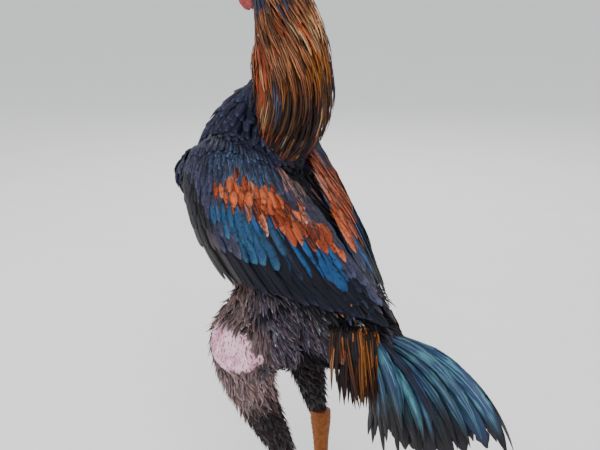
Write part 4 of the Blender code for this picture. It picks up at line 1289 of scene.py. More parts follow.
def outline(name, shares):
    places, widths = np.array(OUTLINES[name]).T
    return np.interp(shares, places, widths)


# %% Many feathers in one mesh
PATCH = 0.003
dice = np.random.default_rng(11)


class Coat:
    """Feathers gathered as arrays, and then made into one mesh."""

    def __init__(self, name):
        self.name = name
        self.batches = []
        self.count = 0

    def add(self, spines, outs, halves, colours, thick=0.0004, camber=0.22, corners=4, ragged=0.0):
        """Feathers with the same number of steps. Spines are points of the bird, rooted on the skin."""
        total, steps, _ = spines.shape
        shares = steps_along(steps)
        along = unit(np.gradient(spines, axis=1))
        side = unit(np.cross(along, outs))
        over = np.cross(side, along)
        across = np.linspace(-1, 1, corners // 2 + 1)
        ring = np.concatenate([across, across[-2:0:-1]])
        lift = np.concatenate([np.ones(len(across)), -np.ones(len(across) - 2)])
        lift[[0, len(across) - 1]] = 0
        width = np.repeat(halves[:, :, None], len(ring), axis=2)
        if ragged:
            splits = dice.uniform(0, 1, width.shape) ** 3 * ragged * (np.abs(ring) > 0.99)
            width = width * (1 - splits * (shares[None, :, None] > 0.15))
        height = camber * width * (1 - ring**2) + lift * thick / 2
        points = spines[:, :, None] + side[:, :, None] * (width * ring)[..., None]
        points = points + over[:, :, None] * height[..., None]
        size = np.linalg.norm(np.diff(spines, axis=1), axis=2)
        reach = np.concatenate([np.zeros((total, 1)), np.cumsum(size, axis=1)], axis=1) * 1000
        shape = (total, steps, len(ring))
        vane = np.stack([
            np.broadcast_to(shares[None, :, None], shape),
            np.broadcast_to(ring[None, None, :], shape),
            np.broadcast_to(reach[:, :, None], shape),
        ], axis=-1)
        ground, fringe = (
            np.broadcast_to(c if c.ndim == 3 else c[:, None], (total, steps, 3)) for c in colours
        )
        tone = dice.uniform(0, 1, total)
        roots = skin_spots[skin_below(spines[:, 0])]
        spots = roots[:, None, None] + PATCH * np.stack([vane[..., 1] / 2, vane[..., 0] - 0.5], axis=-1)
        self.batches.append({
            "points": points + ZERO_ROW,
            "vane": vane,
            "ground": np.broadcast_to(ground[:, :, None], shape + (3,)),
            "fringe": np.broadcast_to(fringe[:, :, None], shape + (3,)),
            "tone": np.broadcast_to(tone[:, None, None], shape),
            "spots": spots,
        })
        self.count += total

    def faces(self):
        """The corners of all faces, and how many each has."""
        corners, sizes, start = [], [], 0
        for batch in self.batches:
            total, steps, ring = batch["tone"].shape
            first = start + np.arange(total)[:, None, None] * steps * ring
            row = np.arange(steps - 1)[None, :, None] * ring
            k = np.arange(ring)[None, None, :]
            after = (k + 1) % ring
            quads = [first + row + k, first + row + after, first + row + ring + after, first + row + ring + k]
            corners.append(np.stack(quads, axis=-1).reshape(-1))
            sizes.append(np.full(total * (steps - 1) * ring, 4))
            foot = first[:, 0] + np.arange(ring)[::-1][None, :]
            tip = first[:, 0] + (steps - 1) * ring + np.arange(ring)[None, :]
            corners.append(np.stack([foot, tip], axis=1).reshape(-1))
            sizes.append(np.full(total * 2, ring))
            start += total * steps * ring
        return np.concatenate(corners), np.concatenate(sizes)

    def gathered(self, name, width):
        return np.concatenate([batch[name].reshape(-1, width) for batch in self.batches])

    def made(self, finish, slot):
        """The mesh, with its map and what its corners know, riding on the bird."""
        points = self.gathered("points", 3)
        corners, sizes = self.faces()
        mesh = bpy.data.meshes.new(self.name)
        mesh.vertices.add(len(points))
        mesh.vertices.foreach_set("co", points.astype(np.float32).ravel())
        mesh.loops.add(len(corners))
        mesh.loops.foreach_set("vertex_index", corners.astype(np.int32))
        mesh.polygons.add(len(sizes))
        mesh.polygons.foreach_set("loop_start", (np.cumsum(sizes) - sizes).astype(np.int32))
        mesh.update(calc_edges=True)
        for name in ("vane", "ground", "fringe"):
            tell(mesh, name, self.gathered(name, 3))
        tell(mesh, "tone", self.gathered("tone", 1).ravel())
        spots = self.gathered("spots", 2)[corners]
        mesh.uv_layers.new(name=MAP_NAME).data.foreach_set("uv", spots.astype(np.float32).ravel())
        mesh.shade_smooth()
        mesh.materials.append(finish.material)
        piece = bpy.data.objects.new(self.name, mesh)
        bpy.context.scene.collection.objects.link(piece)
        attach(piece, "root")
        print(self.name, "has", self.count, "feathers and", triangles(piece), "triangles")
        return piece


# %% [markdown]
# ## How feathers lie
#
# Feathers don't stand where they like. On each part of a bird they all point one way, as if combed, and
# each lies over the roots of the next, like tiles. So the coat needs three things at every place: whether
# a feather is rooted there, which way it points, and how far its tip is lifted off the skin. The way
# comes from a few currents, each a place on the left side and a direction; the other side mirrors them.

# %% Currents of the coat
CURRENTS = [
    ((0.112, 0.000, 0.610), 0.070, (-0.10, 0.00, -1.00)),
    ((0.105, 0.040, 0.520), 0.070, (-0.45, 0.00, -1.00)),
    ((0.070, 0.000, 0.420), 0.060, (-0.90, 0.00, -0.70)),
    ((-0.020, 0.000, 0.330), 0.070, (-1.00, 0.00, -0.10)),
    ((-0.130, 0.000, 0.320), 0.060, (-1.00, 0.00, -0.25)),
    ((0.010, 0.000, 0.540), 0.060, (-0.70, 0.10, -0.75)),
    ((-0.070, 0.020, 0.450), 0.060, (-0.80, 0.10, -0.55)),
    ((-0.130, 0.030, 0.390), 0.050, (-0.85, 0.25, -0.60)),
    ((0.010, 0.080, 0.430), 0.060, (-0.60, 0.10, -0.80)),
    ((-0.080, 0.070, 0.370), 0.050, (-0.75, 0.10, -0.70)),
    ((0.000, 0.120, 0.380), 0.045, (-0.12, 0.10, -1.00)),
    ((0.030, 0.115, 0.320), 0.045, (-0.30, 0.05, -1.00)),
    ((-0.030, 0.080, 0.300), 0.040, (-0.20, 0.00, -1.00)),
    ((-0.020, 0.085, 0.240), 0.045, (-0.66, 0.00, -0.80)),
    ((-0.055, 0.076, 0.180), 0.035, (-0.35, 0.00, -1.00)),
    ((0.052, 0.000, 0.680), 0.060, (0.45, 0.00, -1.00)),
    ((0.050, 0.040, 0.650), 0.050, (0.30, 0.30, -1.00)),
    ((-0.020, 0.000, 0.600), 0.060, (-0.55, 0.00, -1.00)),
    ((-0.020, 0.035, 0.560), 0.050, (-0.60, 0.15, -0.90)),
    ((0.050, 0.015, 0.845), 0.030, (-1.00, 0.00, -0.05)),
    ((0.018, 0.015, 0.810), 0.030, (-0.30, 0.00, -1.00)),
]


def currents_at(points):
    """The combed direction at many places, as unit vectors."""
    mirror = np.where(points[:, 1:2] < 0, -1.0, 1.0)
    folded = points * np.concatenate([np.ones_like(mirror), mirror, np.ones_like(mirror)], axis=1)
    ways = np.zeros_like(points)
    for place, reach, way in CURRENTS:
        weight = 1 / (1e-3 + (np.linalg.norm(folded - np.array(place), axis=1) / reach) ** 4)
        ways += weight[:, None] * unit(np.array(way))
    ways[:, 1:2] *= mirror
    return unit(ways)


def scattered(allowed, gaps):
    """Numbers of skin vertices where that is allowed, no two of them nearer than the gap there."""
    order = dice.permutation(np.flatnonzero(allowed))
    cell = float(gaps[order].max())
    boxes = {}
    chosen = []
    for i in order:
        point = skin_points[i]
        key = tuple((point // cell).astype(int))
        free = True
        for dx in (-1, 0, 1):
            for dy in (-1, 0, 1):
                for dz in (-1, 0, 1):
                    for other in boxes.get((key[0] + dx, key[1] + dy, key[2] + dz), ()):
                        if np.abs(other - point).max() < gaps[i] and np.linalg.norm(other - point) < gaps[i]:
                            free = False
        if free:
            boxes.setdefault(key, []).append(point)
            chosen.append(i)
    return np.array(chosen)


def combed(roots, ways, lengths, rises):
    """Spines that follow the skin from their roots, and the way out of the skin along them."""
    shares = steps_along(len(rises))
    spot, way = roots.copy(), ways.copy()
    spines, outs = [], []
    for i, rise in enumerate(rises):
        if i:
            spot = spot + way * (lengths * (shares[i] - shares[i - 1]))[:, None]
        below = skin_below(spot)
        out = skin_ways[below]
        spot = spot - out * ((spot - skin_points[below]) * out).sum(1, keepdims=True)
        way = unit(way - out * (way * out).sum(1, keepdims=True))
        spines.append(spot + out * np.asarray(rise).reshape(-1, 1))
        outs.append(out)
    return np.stack(spines, axis=1), np.stack(outs, axis=1)


print(len(CURRENTS), "currents")

# %% [markdown]
# ## Markings
#
# The bird is a black-red cock. Its crop and shoulders are slate black, with paler rims. The neck and the
# saddle are mahogany, with a black streak down each feather, and they turn golden or orange in places. A
# band of orange crosses the wing, with blue and teal below it. The flanks and thighs are brown black with
# beige rims, and a patch of the near thigh is bare and pink. Each feather has two colours, a ground and a
# fringe. Both come from patches on the body, each a place with a reach. The skin is coloured by the same
# patches, so that what shows between two feathers belongs to them.

# %% Colours
COLOURS = {
    "slate": paint(42, 43, 62),
    "slate_rim": paint(82, 84, 114),
    "teal_scallop": paint(86, 112, 148),
    "black": paint(24, 22, 27),
    "coal_rim": paint(44, 42, 52),
    "purple_rim": paint(112, 100, 124),
    "brown_black": paint(110, 84, 83),
    "beige": paint(196, 167, 161),
    "streak": paint(54, 27, 16),
    "mahogany": paint(184, 100, 56),
    "pink_brown": paint(200, 130, 88),
    "amber": paint(200, 118, 46),
    "golden": paint(226, 182, 132),
    "orange": paint(204, 86, 40),
    "orange_pale": paint(226, 134, 92),
    "rust": paint(136, 58, 32),
    "blue": paint(30, 68, 110),
    "teal": paint(56, 102, 130),
    "bright_blue": paint(28, 84, 140),
    "blue_black": paint(15, 16, 28),
    "steel": paint(42, 48, 74),
    "grey": paint(18, 16, 22),
    "grey_rim": paint(46, 42, 52),
    "grey_brown": paint(72, 65, 71),
    "salmon": paint(230, 168, 144),
    "tail_teal": paint(40, 84, 100),
    "tail_gloss": paint(94, 152, 166),
    "tail_blue": paint(44, 64, 102),
    "whitish": paint(212, 214, 210),
    "pale_green": paint(120, 146, 140),
    "coal": paint(70, 63, 76),
    "ash": paint(156, 144, 160),
    "brown_rim": paint(116, 76, 48),
    "pink_beige": paint(206, 178, 178),
    "fluff": paint(136, 110, 112),
}

# %% Patches of the body
# Each patch: its place on the left side, its reach, ground and fringe, and whether both sides have it.
BODY_PATCHES = [
    ((-0.020, 0.070, 0.360), (0.150, 0.090, 0.075), "coal", "ash", True),
    ((0.045, 0.095, 0.385), (0.065, 0.070, 0.080), "brown_black", "beige", True),
    ((0.000, 0.000, 0.520), (0.080, 0.050, 0.110), "black", "coal_rim", True),
    ((-0.120, 0.020, 0.390), (0.070, 0.060, 0.050), "black", "grey_rim", True),
    ((-0.110, 0.000, 0.310), (0.090, 0.060, 0.050), "black", "coal_rim", True),
    ((-0.060, 0.045, 0.312), (0.090, 0.070, 0.028), "black", "coal_rim", True),
    ((0.000, 0.100, 0.300), (0.065, 0.070, 0.110), "brown_black", "beige", True),
    ((-0.034, 0.100, 0.318), (0.026, 0.050, 0.018), "grey_brown", "pink_beige", True),
    ((0.010, 0.110, 0.278), (0.070, 0.060, 0.044), "fluff", "pink_beige", True),
    ((0.020, 0.115, 0.368), (0.050, 0.060, 0.018), "brown_black", "pink_beige", True),
    ((-0.036, 0.080, 0.200), (0.080, 0.060, 0.076), "black", "brown_black", True),
    ((0.000, 0.000, 0.740), (0.060, 0.070, 0.110), "streak", "mahogany", True),
    ((0.030, 0.000, 0.840), (0.030, 0.030, 0.022), "streak", "rust", True),
]


def plain(count, *names):
    """The ground and the fringe of so many feathers that are all alike."""
    return [np.tile(np.array(COLOURS[name]), (count, 1)) for name in names]


def blended(colours, names, share):
    """Mixes a named ground and fringe into others, by a share for each feather."""
    return [old + (np.array(COLOURS[name]) - old) * share for old, name in zip(colours, names)]


def ending_in(colours, names, share):
    """Lets each feather turn to a named ground and fringe, by a share for each step along it."""
    return [old[:, None] * (1 - share) + np.array(COLOURS[name]) * share for old, name in zip(colours, names)]


def painted(points, patches, ground="slate", fringe="slate_rim"):
    """The ground and fringe colours at many places of the bird."""
    colours = plain(len(points), ground, fringe)
    for place, reach, under, edge, both in patches:
        spots = points.copy()
        if both:
            spots[:, 1] = np.abs(spots[:, 1])
        colours = blended(colours, (under, edge), near(spots, place, reach)[:, None])
    return colours


# %% Differences from feather to feather
def weathered(colours, spread=0.16):
    """The same colours, each a little lighter or darker and a little warmer or cooler."""
    ground, fringe = colours
    light = 1 + dice.normal(0, spread, (len(ground), 1))
    warm = 1 + dice.normal(0, spread / 4, (len(ground), 1)) * np.array((1.0, 0.0, -1.0))
    return np.clip(ground * light * warm, 0, 1), np.clip(fringe * light * warm, 0, 1)


def speckled(colours, kinds, among=None):
    """Gives shares of the feathers, picked at random, another ground or fringe; None keeps the old one."""
    ground, fringe = colours[0].copy(), colours[1].copy()
    lot = dice.uniform(0, 1, len(ground))
    low = 0.0
    for share, under, edge in kinds:
        picked = (lot >= low) & (lot < low + share)
        if among is not None:
            picked &= among
        if under:
            ground[picked] = COLOURS[under]
        if edge:
            fringe[picked] = COLOURS[edge]
        low += share
    return ground, fringe


print(len(COLOURS), "colours and", len(BODY_PATCHES), "patches")

# %% [markdown]
# ## The finish of a feather
#
# Seen close, a feather is a shaft with two webs of fine barbs that slant out to its edge. Each web parts
# here and there, and the splits are darkened as painted shade. The finish mixes the feather's ground and
# fringe by a rim mask, darkens the down towards the root as painted shade under the feathers that lap over
# it, draws the shaft as a thin line, and lets fine slanting stripes make the barbs, as colour and as bump.
# Where asked, it mixes in the fringe in streaks along the barbs, a painted sheen. Slow noise over the whole
# bird keeps any two feathers from looking the same.

# %% One function for all feather finishes
BARBS_EACH_MILLIMETRE = 2.6


def feather_finish(name, rim=(0.55, 0.95), tip=(0.80, 1.0), shaft=0.05, shaft_light=0.5, rough=0.55,
                   coat=0.0, barb_depth=0.00025, barb_contrast=0.16, reach=1.0, flecks=0.0, streaks=0.0):
    """Rim and tip say where the fringe starts and ends, across the feather and along it."""
    made = Finish(name, Roughness=rough, Coat_Roughness=0.35, Specular_IOR_Level=0.16)
    vane = made.told("vane")
    along, across, metres = vane.part(0), vane.part(1).size(), vane.part(2)
    tone = made.told("tone", outlet=2)
    broad = made.noise(made.place(), 38.0)
    edge = across.ramp(*rim).most(along.ramp(*tip)) * reach
    wander = (broad - 0.5) * 0.5
    edge = (edge + wander * edge * 2).clamped()
    # Streaks of noise along the barbs mix in the fringe colour: painted sheen.
    if streaks:
        sheen_lengthways = {0: metres * 0.035, 1: across * 3.5, 2: tone * 31.0}
        sheen_lengthways = made.node("ShaderNodeCombineXYZ", {}, sheen_lengthways)
        edge = (edge + made.noise(sheen_lengthways, 1.0, detail=2.0).ramp(0.46, 0.64) * streaks).clamped()
    colour = made.mix(made.told("ground"), made.told("fringe"), edge)
    slant = metres + across * 4.0 + tone * 40.0
    barbs = (slant * (BARBS_EACH_MILLIMETRE * 2 * math.pi)).sine()
    in_webs = made.node("ShaderNodeCombineXYZ", {}, {0: slant * 0.35, 1: across, 2: tone * 9.0})
    parted = made.noise(in_webs, 1.6)
    # Where the webs part, the feather is darkened: painted shade in the splits.
    parting = parted.ramp(0.60, 0.72) * across.ramp(0.15, 0.6)
    light = 0.84 + tone * 0.32 + barbs * (barb_contrast / 2) - parting * 0.35 + (broad - 0.5) * 0.35
    # Towards the root each feather is darkened: painted shade under the feathers that lap over it.
    light = light * (0.55 + 0.45 * along.ramp(0.0, 0.35))
    if flecks:
        fleck = made.noise(made.place(), 210.0, detail=2.0).ramp(0.54, 0.64) * flecks
        light = light * (1 - fleck)
    colour = made.scaled(colour, light)
    line = (1 - across.ramp(shaft * 0.5, shaft)) * along.ramp(0.02, 0.1)
    pale = made.mix(colour, made.scaled(made.told("fringe"), 1.2), line * shaft_light)
    made.out("Base Color", pale)
    made.out("Roughness", (rough + (broad - 0.5) * 0.3 + parting * 0.2).clamped())
    if coat:
        made.out("Coat Weight", (coat * (1 - edge * 0.5) * (0.6 + broad * 0.8)).clamped())
    made.bump(barbs * 0.5 - parting * 1.5 + line * 1.2, barb_depth)
    return made


SMALL_FEATHER = feather_finish("small_feather", rough=0.58, barb_contrast=0.22)
LOOSE_FEATHER = feather_finish("loose_feather", rim=(0.50, 1.0), tip=(0.70, 1.0), rough=0.72, reach=0.85)
LANCET_FEATHER = feather_finish("lancet_feather", rim=(0.50, 0.90), tip=(0.86, 1.0), rough=0.48, coat=0.18,
                                shaft_light=0.6, reach=0.8)
HACKLE_FEATHER = feather_finish("hackle_feather", rim=(0.26, 0.50), tip=(0.82, 0.97), rough=0.48, coat=0.10,
                                shaft_light=0.0, reach=1.0)
print("finishes", [made.name for made in bpy.data.materials if made.name.endswith("_feather")])

# %% [markdown]
# ## The hackle
#
# The neck wears a cape of more than two thousand narrow, pointed feathers. Rows of equal feathers would show
# as rings, so the roots follow a golden-angle spiral up the neck, which spreads them evenly with no rows
# at all. Each feather leaves the skin, swells out to the cape's outer form and closes in again below,
# because the cape is full over the nape and its ends are drawn together at the foot of the neck.

# %% Points between the neck's skin and the outer face of its cape
HACKLE_COUNT = 2900
HACKLE_LOW = 0.604
HACKLE_HIGH = 0.826
HACKLE_LENGTH = (0.086, 0.036)
HACKLE_HALF = 0.0033
HACKLE_STEPS = 8
HACKLE_END = 0.553
# Each feather is coloured by the patch at this step along it.
COLOUR_STEP = 5
# The front of the throat is bare down to this height.
BARE_THROAT_LOW = 0.742
# The feathers drift round the neck as they hang: degrees towards the nape by height, and back lower down.
DRIFT = [
    (0.553, 2), (0.575, 17), (0.600, 33), (0.620, 43), (0.640, 49), (0.660, 51), (0.680, 49), (0.710, 40),
    (0.740, 27), (0.785, 10), (0.830, 0),
]
HACKLE_KINDS = [(0.035, None, "golden"), (0.22, "black", "brown_rim"), (0.04, None, "orange")]
HACKLE_PATCHES = [
    ((0.000, 0.030, 0.740), (0.090, 0.070, 0.110), "streak", "pink_brown", True),
    ((0.026, 0.038, 0.767), (0.017, 0.022, 0.020), "slate", "slate_rim", True),
    ((-0.014, 0.029, 0.767), (0.013, 0.020, 0.016), "slate", "slate_rim", True),
    ((-0.042, 0.012, 0.737), (0.024, 0.030, 0.026), "mahogany", "golden", True),
    ((-0.020, 0.000, 0.612), (0.066, 0.090, 0.072), "black", "brown_rim", True),
    ((0.014, 0.048, 0.676), (0.019, 0.024, 0.048), "rust", "orange", True),
    ((0.014, 0.044, 0.616), (0.010, 0.020, 0.014), "streak", "golden", True),
    # In this patch the blue-grey fringes on black are painted glints.
    ((-0.010, 0.048, 0.640), (0.010, 0.018, 0.024), "black", "slate_rim", True),
    ((-0.028, 0.044, 0.652), (0.012, 0.018, 0.024), "streak", "amber", True),
    ((-0.055, 0.013, 0.684), (0.018, 0.022, 0.032), "streak", "amber", True),
    ((-0.048, 0.012, 0.606), (0.040, 0.040, 0.034), "black", "streak", True),
    ((-0.045, -0.029, 0.690), (0.018, 0.024, 0.075), "black", "grey_brown", False),
    ((0.000, 0.010, 0.578), (0.110, 0.100, 0.040), "black", "streak", True),
    ((-0.022, 0.022, 0.574), (0.040, 0.040, 0.022), "black", "grey_brown", True),
]


def ring_of_height(rings, heights):
    return np.interp(heights, [ring[2] for ring in rings], np.arange(len(rings)))


def cape_point(heights, angles, rise):
    """A point at a height; rise counts from the neck's skin, 0, to the cape's outer face, 1."""
    skin_side = on_form(NECK, ring_of_height(NECK, heights), angles, BACK)
    outer = on_form(HACKLE, ring_of_height(HACKLE, heights), angles, BACK)
    return skin_side + (outer - skin_side) * np.asarray(rise)[..., None]


# %% Laying the hackle
numbers = np.arange(HACKLE_COUNT)
spread = (numbers + 0.5) / HACKLE_COUNT
root_height = HACKLE_LOW + (HACKLE_HIGH - HACKLE_LOW) * spread + dice.uniform(-0.003, 0.003, HACKLE_COUNT)
root_angle = (numbers * GOLDEN_ANGLE + dice.uniform(-3, 3, HACKLE_COUNT)) % 360
in_front = np.clip(-np.cos(np.radians(root_angle)), 0, 1)
feathered = ~((in_front > 0.55) & (root_height > BARE_THROAT_LOW))
root_height, root_angle, in_front = (v[feathered] for v in (root_height, root_angle, in_front))
total = len(root_height)
lengths = np.interp(root_height, [0.64, HACKLE_HIGH], HACKLE_LENGTH) * (1 - 0.30 * in_front)
lengths = np.minimum(lengths * dice.uniform(0.82, 1.08, total), root_height - HACKLE_END)
shares = steps_along(HACKLE_STEPS)
layer = dice.uniform(0.42, 1.0, total)
heights = root_height[:, None] - lengths[:, None] * shares
drift_heights, drift_turns = np.array(DRIFT).T
drift = np.interp(heights, drift_heights, drift_turns)
drift = drift - np.interp(root_height, drift_heights, drift_turns)[:, None]
drift *= (np.where(root_angle < 180, -1, 1) * np.abs(np.sin(np.radians(root_angle))) ** 0.7)[:, None]
angles = root_angle[:, None] + drift + dice.normal(0, 3.0, total)[:, None] * shares
swell = np.sin(np.clip(shares * 1.25, 0, 1) * math.pi / 2) ** 0.8
rise = -0.06 + 1.02 * swell[None, :] * layer[:, None]
spines = cape_point(heights, angles, rise)
outs = unit(cape_point(heights, angles, rise + 0.2) - spines)
halves = outline("lancet", shares)[None, :] * (HACKLE_HALF * dice.uniform(0.8, 1.15, total))[:, None]
colours = painted(spines[:, COLOUR_STEP], HACKLE_PATCHES, "streak", "mahogany")
hackle = Coat("hackle_feathers")
hackle.add(spines, outs, halves, weathered(speckled(colours, HACKLE_KINDS), 0.2), thick=0.0004, camber=0.3)
hackle.made(HACKLE_FEATHER, "hackle_feathers")

# %% [markdown]
# ## The small feathers of the body
#
# Crop, breast, belly, back and flanks wear short rounded feathers, each about as long as two finger
# joints and lying flat. They are rooted at vertices of the skin, chosen at random but never nearer than a
# gap, and each is combed down the current in steps that follow the skin. The tips are lifted by the depth
# of the coat, so that the coat reaches the size that the solids say.

# %% Where the small feathers grow
BODY_GAP = 0.0062
BODY_LENGTH = 0.027
BODY_HALF = 0.0066
BODY_RISE = (-0.0010, 0.0008, 0.0022, 0.0034, 0.0044, 0.0050)
LOOSE_RISE = (-0.0010, 0.0012, 0.0030, 0.0046, 0.0060)
BACK_RISE = (-0.0010, 0.0010, 0.0026, 0.0042, 0.0056, 0.0066, 0.0074, 0.0078)

# Places by height: below the first a leg's feathers grow, above the others the back's and the wings'.
LEG_HIGH = 0.365
BACK_LOW = 0.412
WING_LOW = 0.43
# How far out a wing begins, by height.
WING_FROM = [(0.35, 0.078), (0.42, 0.080), (0.50, 0.090), (0.56, 0.078), (0.62, 0.052), (0.66, 0.030)]

on_legs = np.zeros(len(skin_points), bool)
for side in SIDES:
    rings = thigh_rings(side)
    centres = rings_at(rings, np.linspace(0.6, len(rings) - 1, 30))
    gap = np.linalg.norm((skin_points[:, None] - centres[None, :, :3]) / np.array((1.3, 1.0, 1.0)), axis=2)
    outward = skin_points[:, 1] * SIDES[side] > 0.02
    on_legs |= (gap < centres[None, :, 3:5].max(2) * 1.02).any(1) & outward & (skin_points[:, 2] < LEG_HIGH)
on_wings = np.abs(skin_points[:, 1]) > np.interp(skin_points[:, 2], *np.array(WING_FROM).T)
on_wings &= (skin_points[:, 2] > WING_LOW) & ~on_legs
on_neck = skin_points[:, 2] > np.where(skin_points[:, 0] > 0.035, 0.700, 0.664)
on_body = ~(on_legs | on_wings | on_neck)
on_back = on_body & (skin_points[:, 0] < 0.035) & (skin_points[:, 2] > BACK_LOW) & (skin_ways[:, 2] > 0.15)
on_back &= np.abs(skin_points[:, 1]) < 0.062
print("body, legs, wings:", on_body.sum(), on_legs.sum(), on_wings.sum(), "vertices")

# %% Feathers all over a part of the skin
def everywhere(value):
    """A number for each vertex of the skin, from one number or from as many."""
    return np.broadcast_to(np.asarray(value, float), len(skin_points))


def laid(coat, allowed, gap, length, half, rises, shape, patches=(), wild=0.10, lift=0.25, camber=0.25,
         base=("slate", "slate_rim"), tint=0.16, kinds=(), fuller=1.0):
    """Rooted a gap apart, combed and lifted step by step, each feather a little different."""
    chosen = scattered(allowed, everywhere(gap))
    total = len(chosen)
    roots = skin_points[chosen] + dice.normal(0, 0.0010, (total, 3))
    ways = unit(currents_at(roots) + dice.normal(0, wild, (total, 3)))
    sizes = dice.uniform(0.82, 1.15, total)
    lifts = (1 + dice.uniform(-lift, lift, total)) * everywhere(fuller)[chosen]
    rise_rows = [np.full(total, rises[0])] + [rise * lifts for rise in rises[1:]]
    spines, outs = combed(roots, ways, everywhere(length)[chosen] * sizes, rise_rows)
    halves = outline(shape, steps_along(len(rises)))[None, :] * (everywhere(half)[chosen] * sizes)[:, None]
    colours = weathered(speckled(painted(roots, patches, *base), kinds), tint)
    coat.add(spines, outs, halves, colours, camber=camber)


# %% Laying the body feathers
front = skin_points[:, 0] > 0.02
low_down = skin_points[:, 2] < WING_LOW
for name, part in (("breast_feathers", front & ~low_down), ("side_feathers", ~front & ~low_down)):
    coat = Coat(name)
    laid(coat, on_body & part & ~on_back, BODY_GAP, BODY_LENGTH, BODY_HALF, BODY_RISE, "round",
         patches=BODY_PATCHES)
    coat.made(SMALL_FEATHER, "body_feathers")
BELLY_KINDS = [(0.14, None, "whitish"), (0.10, "black", "coal")]
belly = Coat("belly_feathers")
laid(belly, on_body & low_down & ~on_back, gap=0.0047, length=0.022, half=0.0031, rises=LOOSE_RISE,
     shape="spiky", patches=BODY_PATCHES, wild=0.24, lift=0.5, camber=0.4, base=("coal", "ash"), tint=0.24,
     kinds=BELLY_KINDS)
belly.made(LOOSE_FEATHER, "body_feathers")
shoulders = Coat("shoulder_feathers")
laid(shoulders, on_wings, gap=0.0064, length=0.021, half=0.0058, rises=BODY_RISE, shape="round")
shoulders.made(SMALL_FEATHER, "body_feathers")
BACK_KINDS = [(0.16, "slate", "slate_rim"), (0.10, "blue_black", "salmon"), (0.12, "black", "purple_rim")]
mantle = Coat("back_lancets")
laid(mantle, on_back, gap=0.0052, length=0.050, half=0.0046, rises=BACK_RISE, shape="long_lancet",
     wild=0.05, base=("black", "coal_rim"), tint=0.22, kinds=BACK_KINDS,
     fuller=1 + 1.3 * soft_step(-skin_points[:, 0], 0.02, 0.12))
mantle.made(LANCET_FEATHER, "body_feathers")

# %% [markdown]
# ## Crown and cheeks
#
# The back of the head wears the smallest feathers of all, like short fur. They stop in a clear line where
# the bare face begins.

# %% Laying the feathers of the head
CROWN_RISE = (-0.0004, 0.0008, 0.0018, 0.0026)
crown = Coat("crown_feathers")
on_crown = (skin_points[:, 2] > 0.780) & (skin_points[:, 0] < 0.041)
laid(crown, on_crown, gap=0.0026, length=0.012, half=0.0016, rises=CROWN_RISE, shape="lancet", wild=0.12,
     base=("streak", "rust"), tint=0.25, kinds=[(0.3, "black", "grey_rim"), (0.2, "streak", "mahogany")])
crown.made(HACKLE_FEATHER, "hackle_feathers")

# %% [markdown]
# ## The legs' feathers and the bare patch
#
# The thighs are worn rough: narrow, dark feathers with beige edges that stand out in points, shorter and
# blacker towards the hock. On the outer side of the near knee they are rubbed off over a hand's breadth.
# There the skin shows, with a few dark quills growing back.

# %% Laying the leg feathers
LEG_GAP = 0.0044
PIN_RISE = (-0.0004, 0.0006, 0.0013)
LEG_RISE = (-0.0010, 0.0014, 0.0036, 0.0056, 0.0074)
# The edge of the bare patch wanders in wide and in narrow bends: how many to the metre, and how far.
WIDE_BENDS = (48.0, 0.011)
NARROW_BENDS = (130.0, 0.006)
RUBBED_RIM = 0.008
# Without a seed of its own, noise_vector starts from the clock and gives other bends in each run.
BENDS_SEED = 3
noise.seed_set(BENDS_SEED)


def bends(place, each_metre, reach):
    return noise.noise_vector(place * each_metre) * reach


wander = np.array([
    bends(place, *WIDE_BENDS) + bends(place, *NARROW_BENDS) for place in map(Vector, skin_points.tolist())
])
wandered = skin_points + wander
in_bare_patch = near(wandered, *BARE_PATCH)
rubbed = near(wandered, np.array(BARE_PATCH[0]) + UP * RUBBED_RIM, np.array(BARE_PATCH[1]) + RUBBED_RIM)
leg_share = soft_step(skin_points[:, 2], 0.170, 0.330)
for side, sign in SIDES.items():
    coat = Coat("thigh_feathers_" + side)
    part = on_legs & (skin_points[:, 1] * sign > 0)
    thinned = dice.uniform(0, 1, len(skin_points)) > rubbed * 1.5 * (side == "left")
    patches = BODY_PATCHES if side == "left" else ()
    base = ("brown_black", "beige") if side == "left" else ("black", "brown_black")
    laid(coat, part & thinned, LEG_GAP, length=0.011 + 0.009 * leg_share, half=0.0018 + 0.0014 * leg_share,
         rises=LEG_RISE, shape="spiky", patches=patches, wild=0.24, lift=0.55, camber=0.4, base=base,
         tint=0.24, fuller=0.45 + 0.55 * leg_share)
    if side == "left":
        laid(coat, in_bare_patch > 0.5, gap=0.0050, length=0.0046, half=0.0006, rises=PIN_RISE,
             shape="spiky", wild=0.4, base=("black", "grey"))
        laid(coat, (rubbed > 0.35) & (in_bare_patch < 0.85), gap=0.0050, length=0.0090, half=0.0011,
             rises=LEG_RISE, shape="spiky", wild=0.5, lift=0.5, base=("fluff", "pink_beige"), tint=0.2,
             fuller=0.5)
    coat.made(LOOSE_FEATHER, "thigh_feathers")

# %% [markdown]
# ## The folded wings
#
# A folded wing is tiers of tiles. Small coverts lie over the shoulder in staggered rows, each row's tips
# over the next row's roots. Then come the median and the greater coverts, and under them the long
# secondaries, with the tips of the primaries along the lower edge. All follow the same lines down the
# wing. A tier is a row of a table: how many feathers, where they start and end on their lines, how high
# they ride over the wing's face, and how much wider they are than the gap between lines.

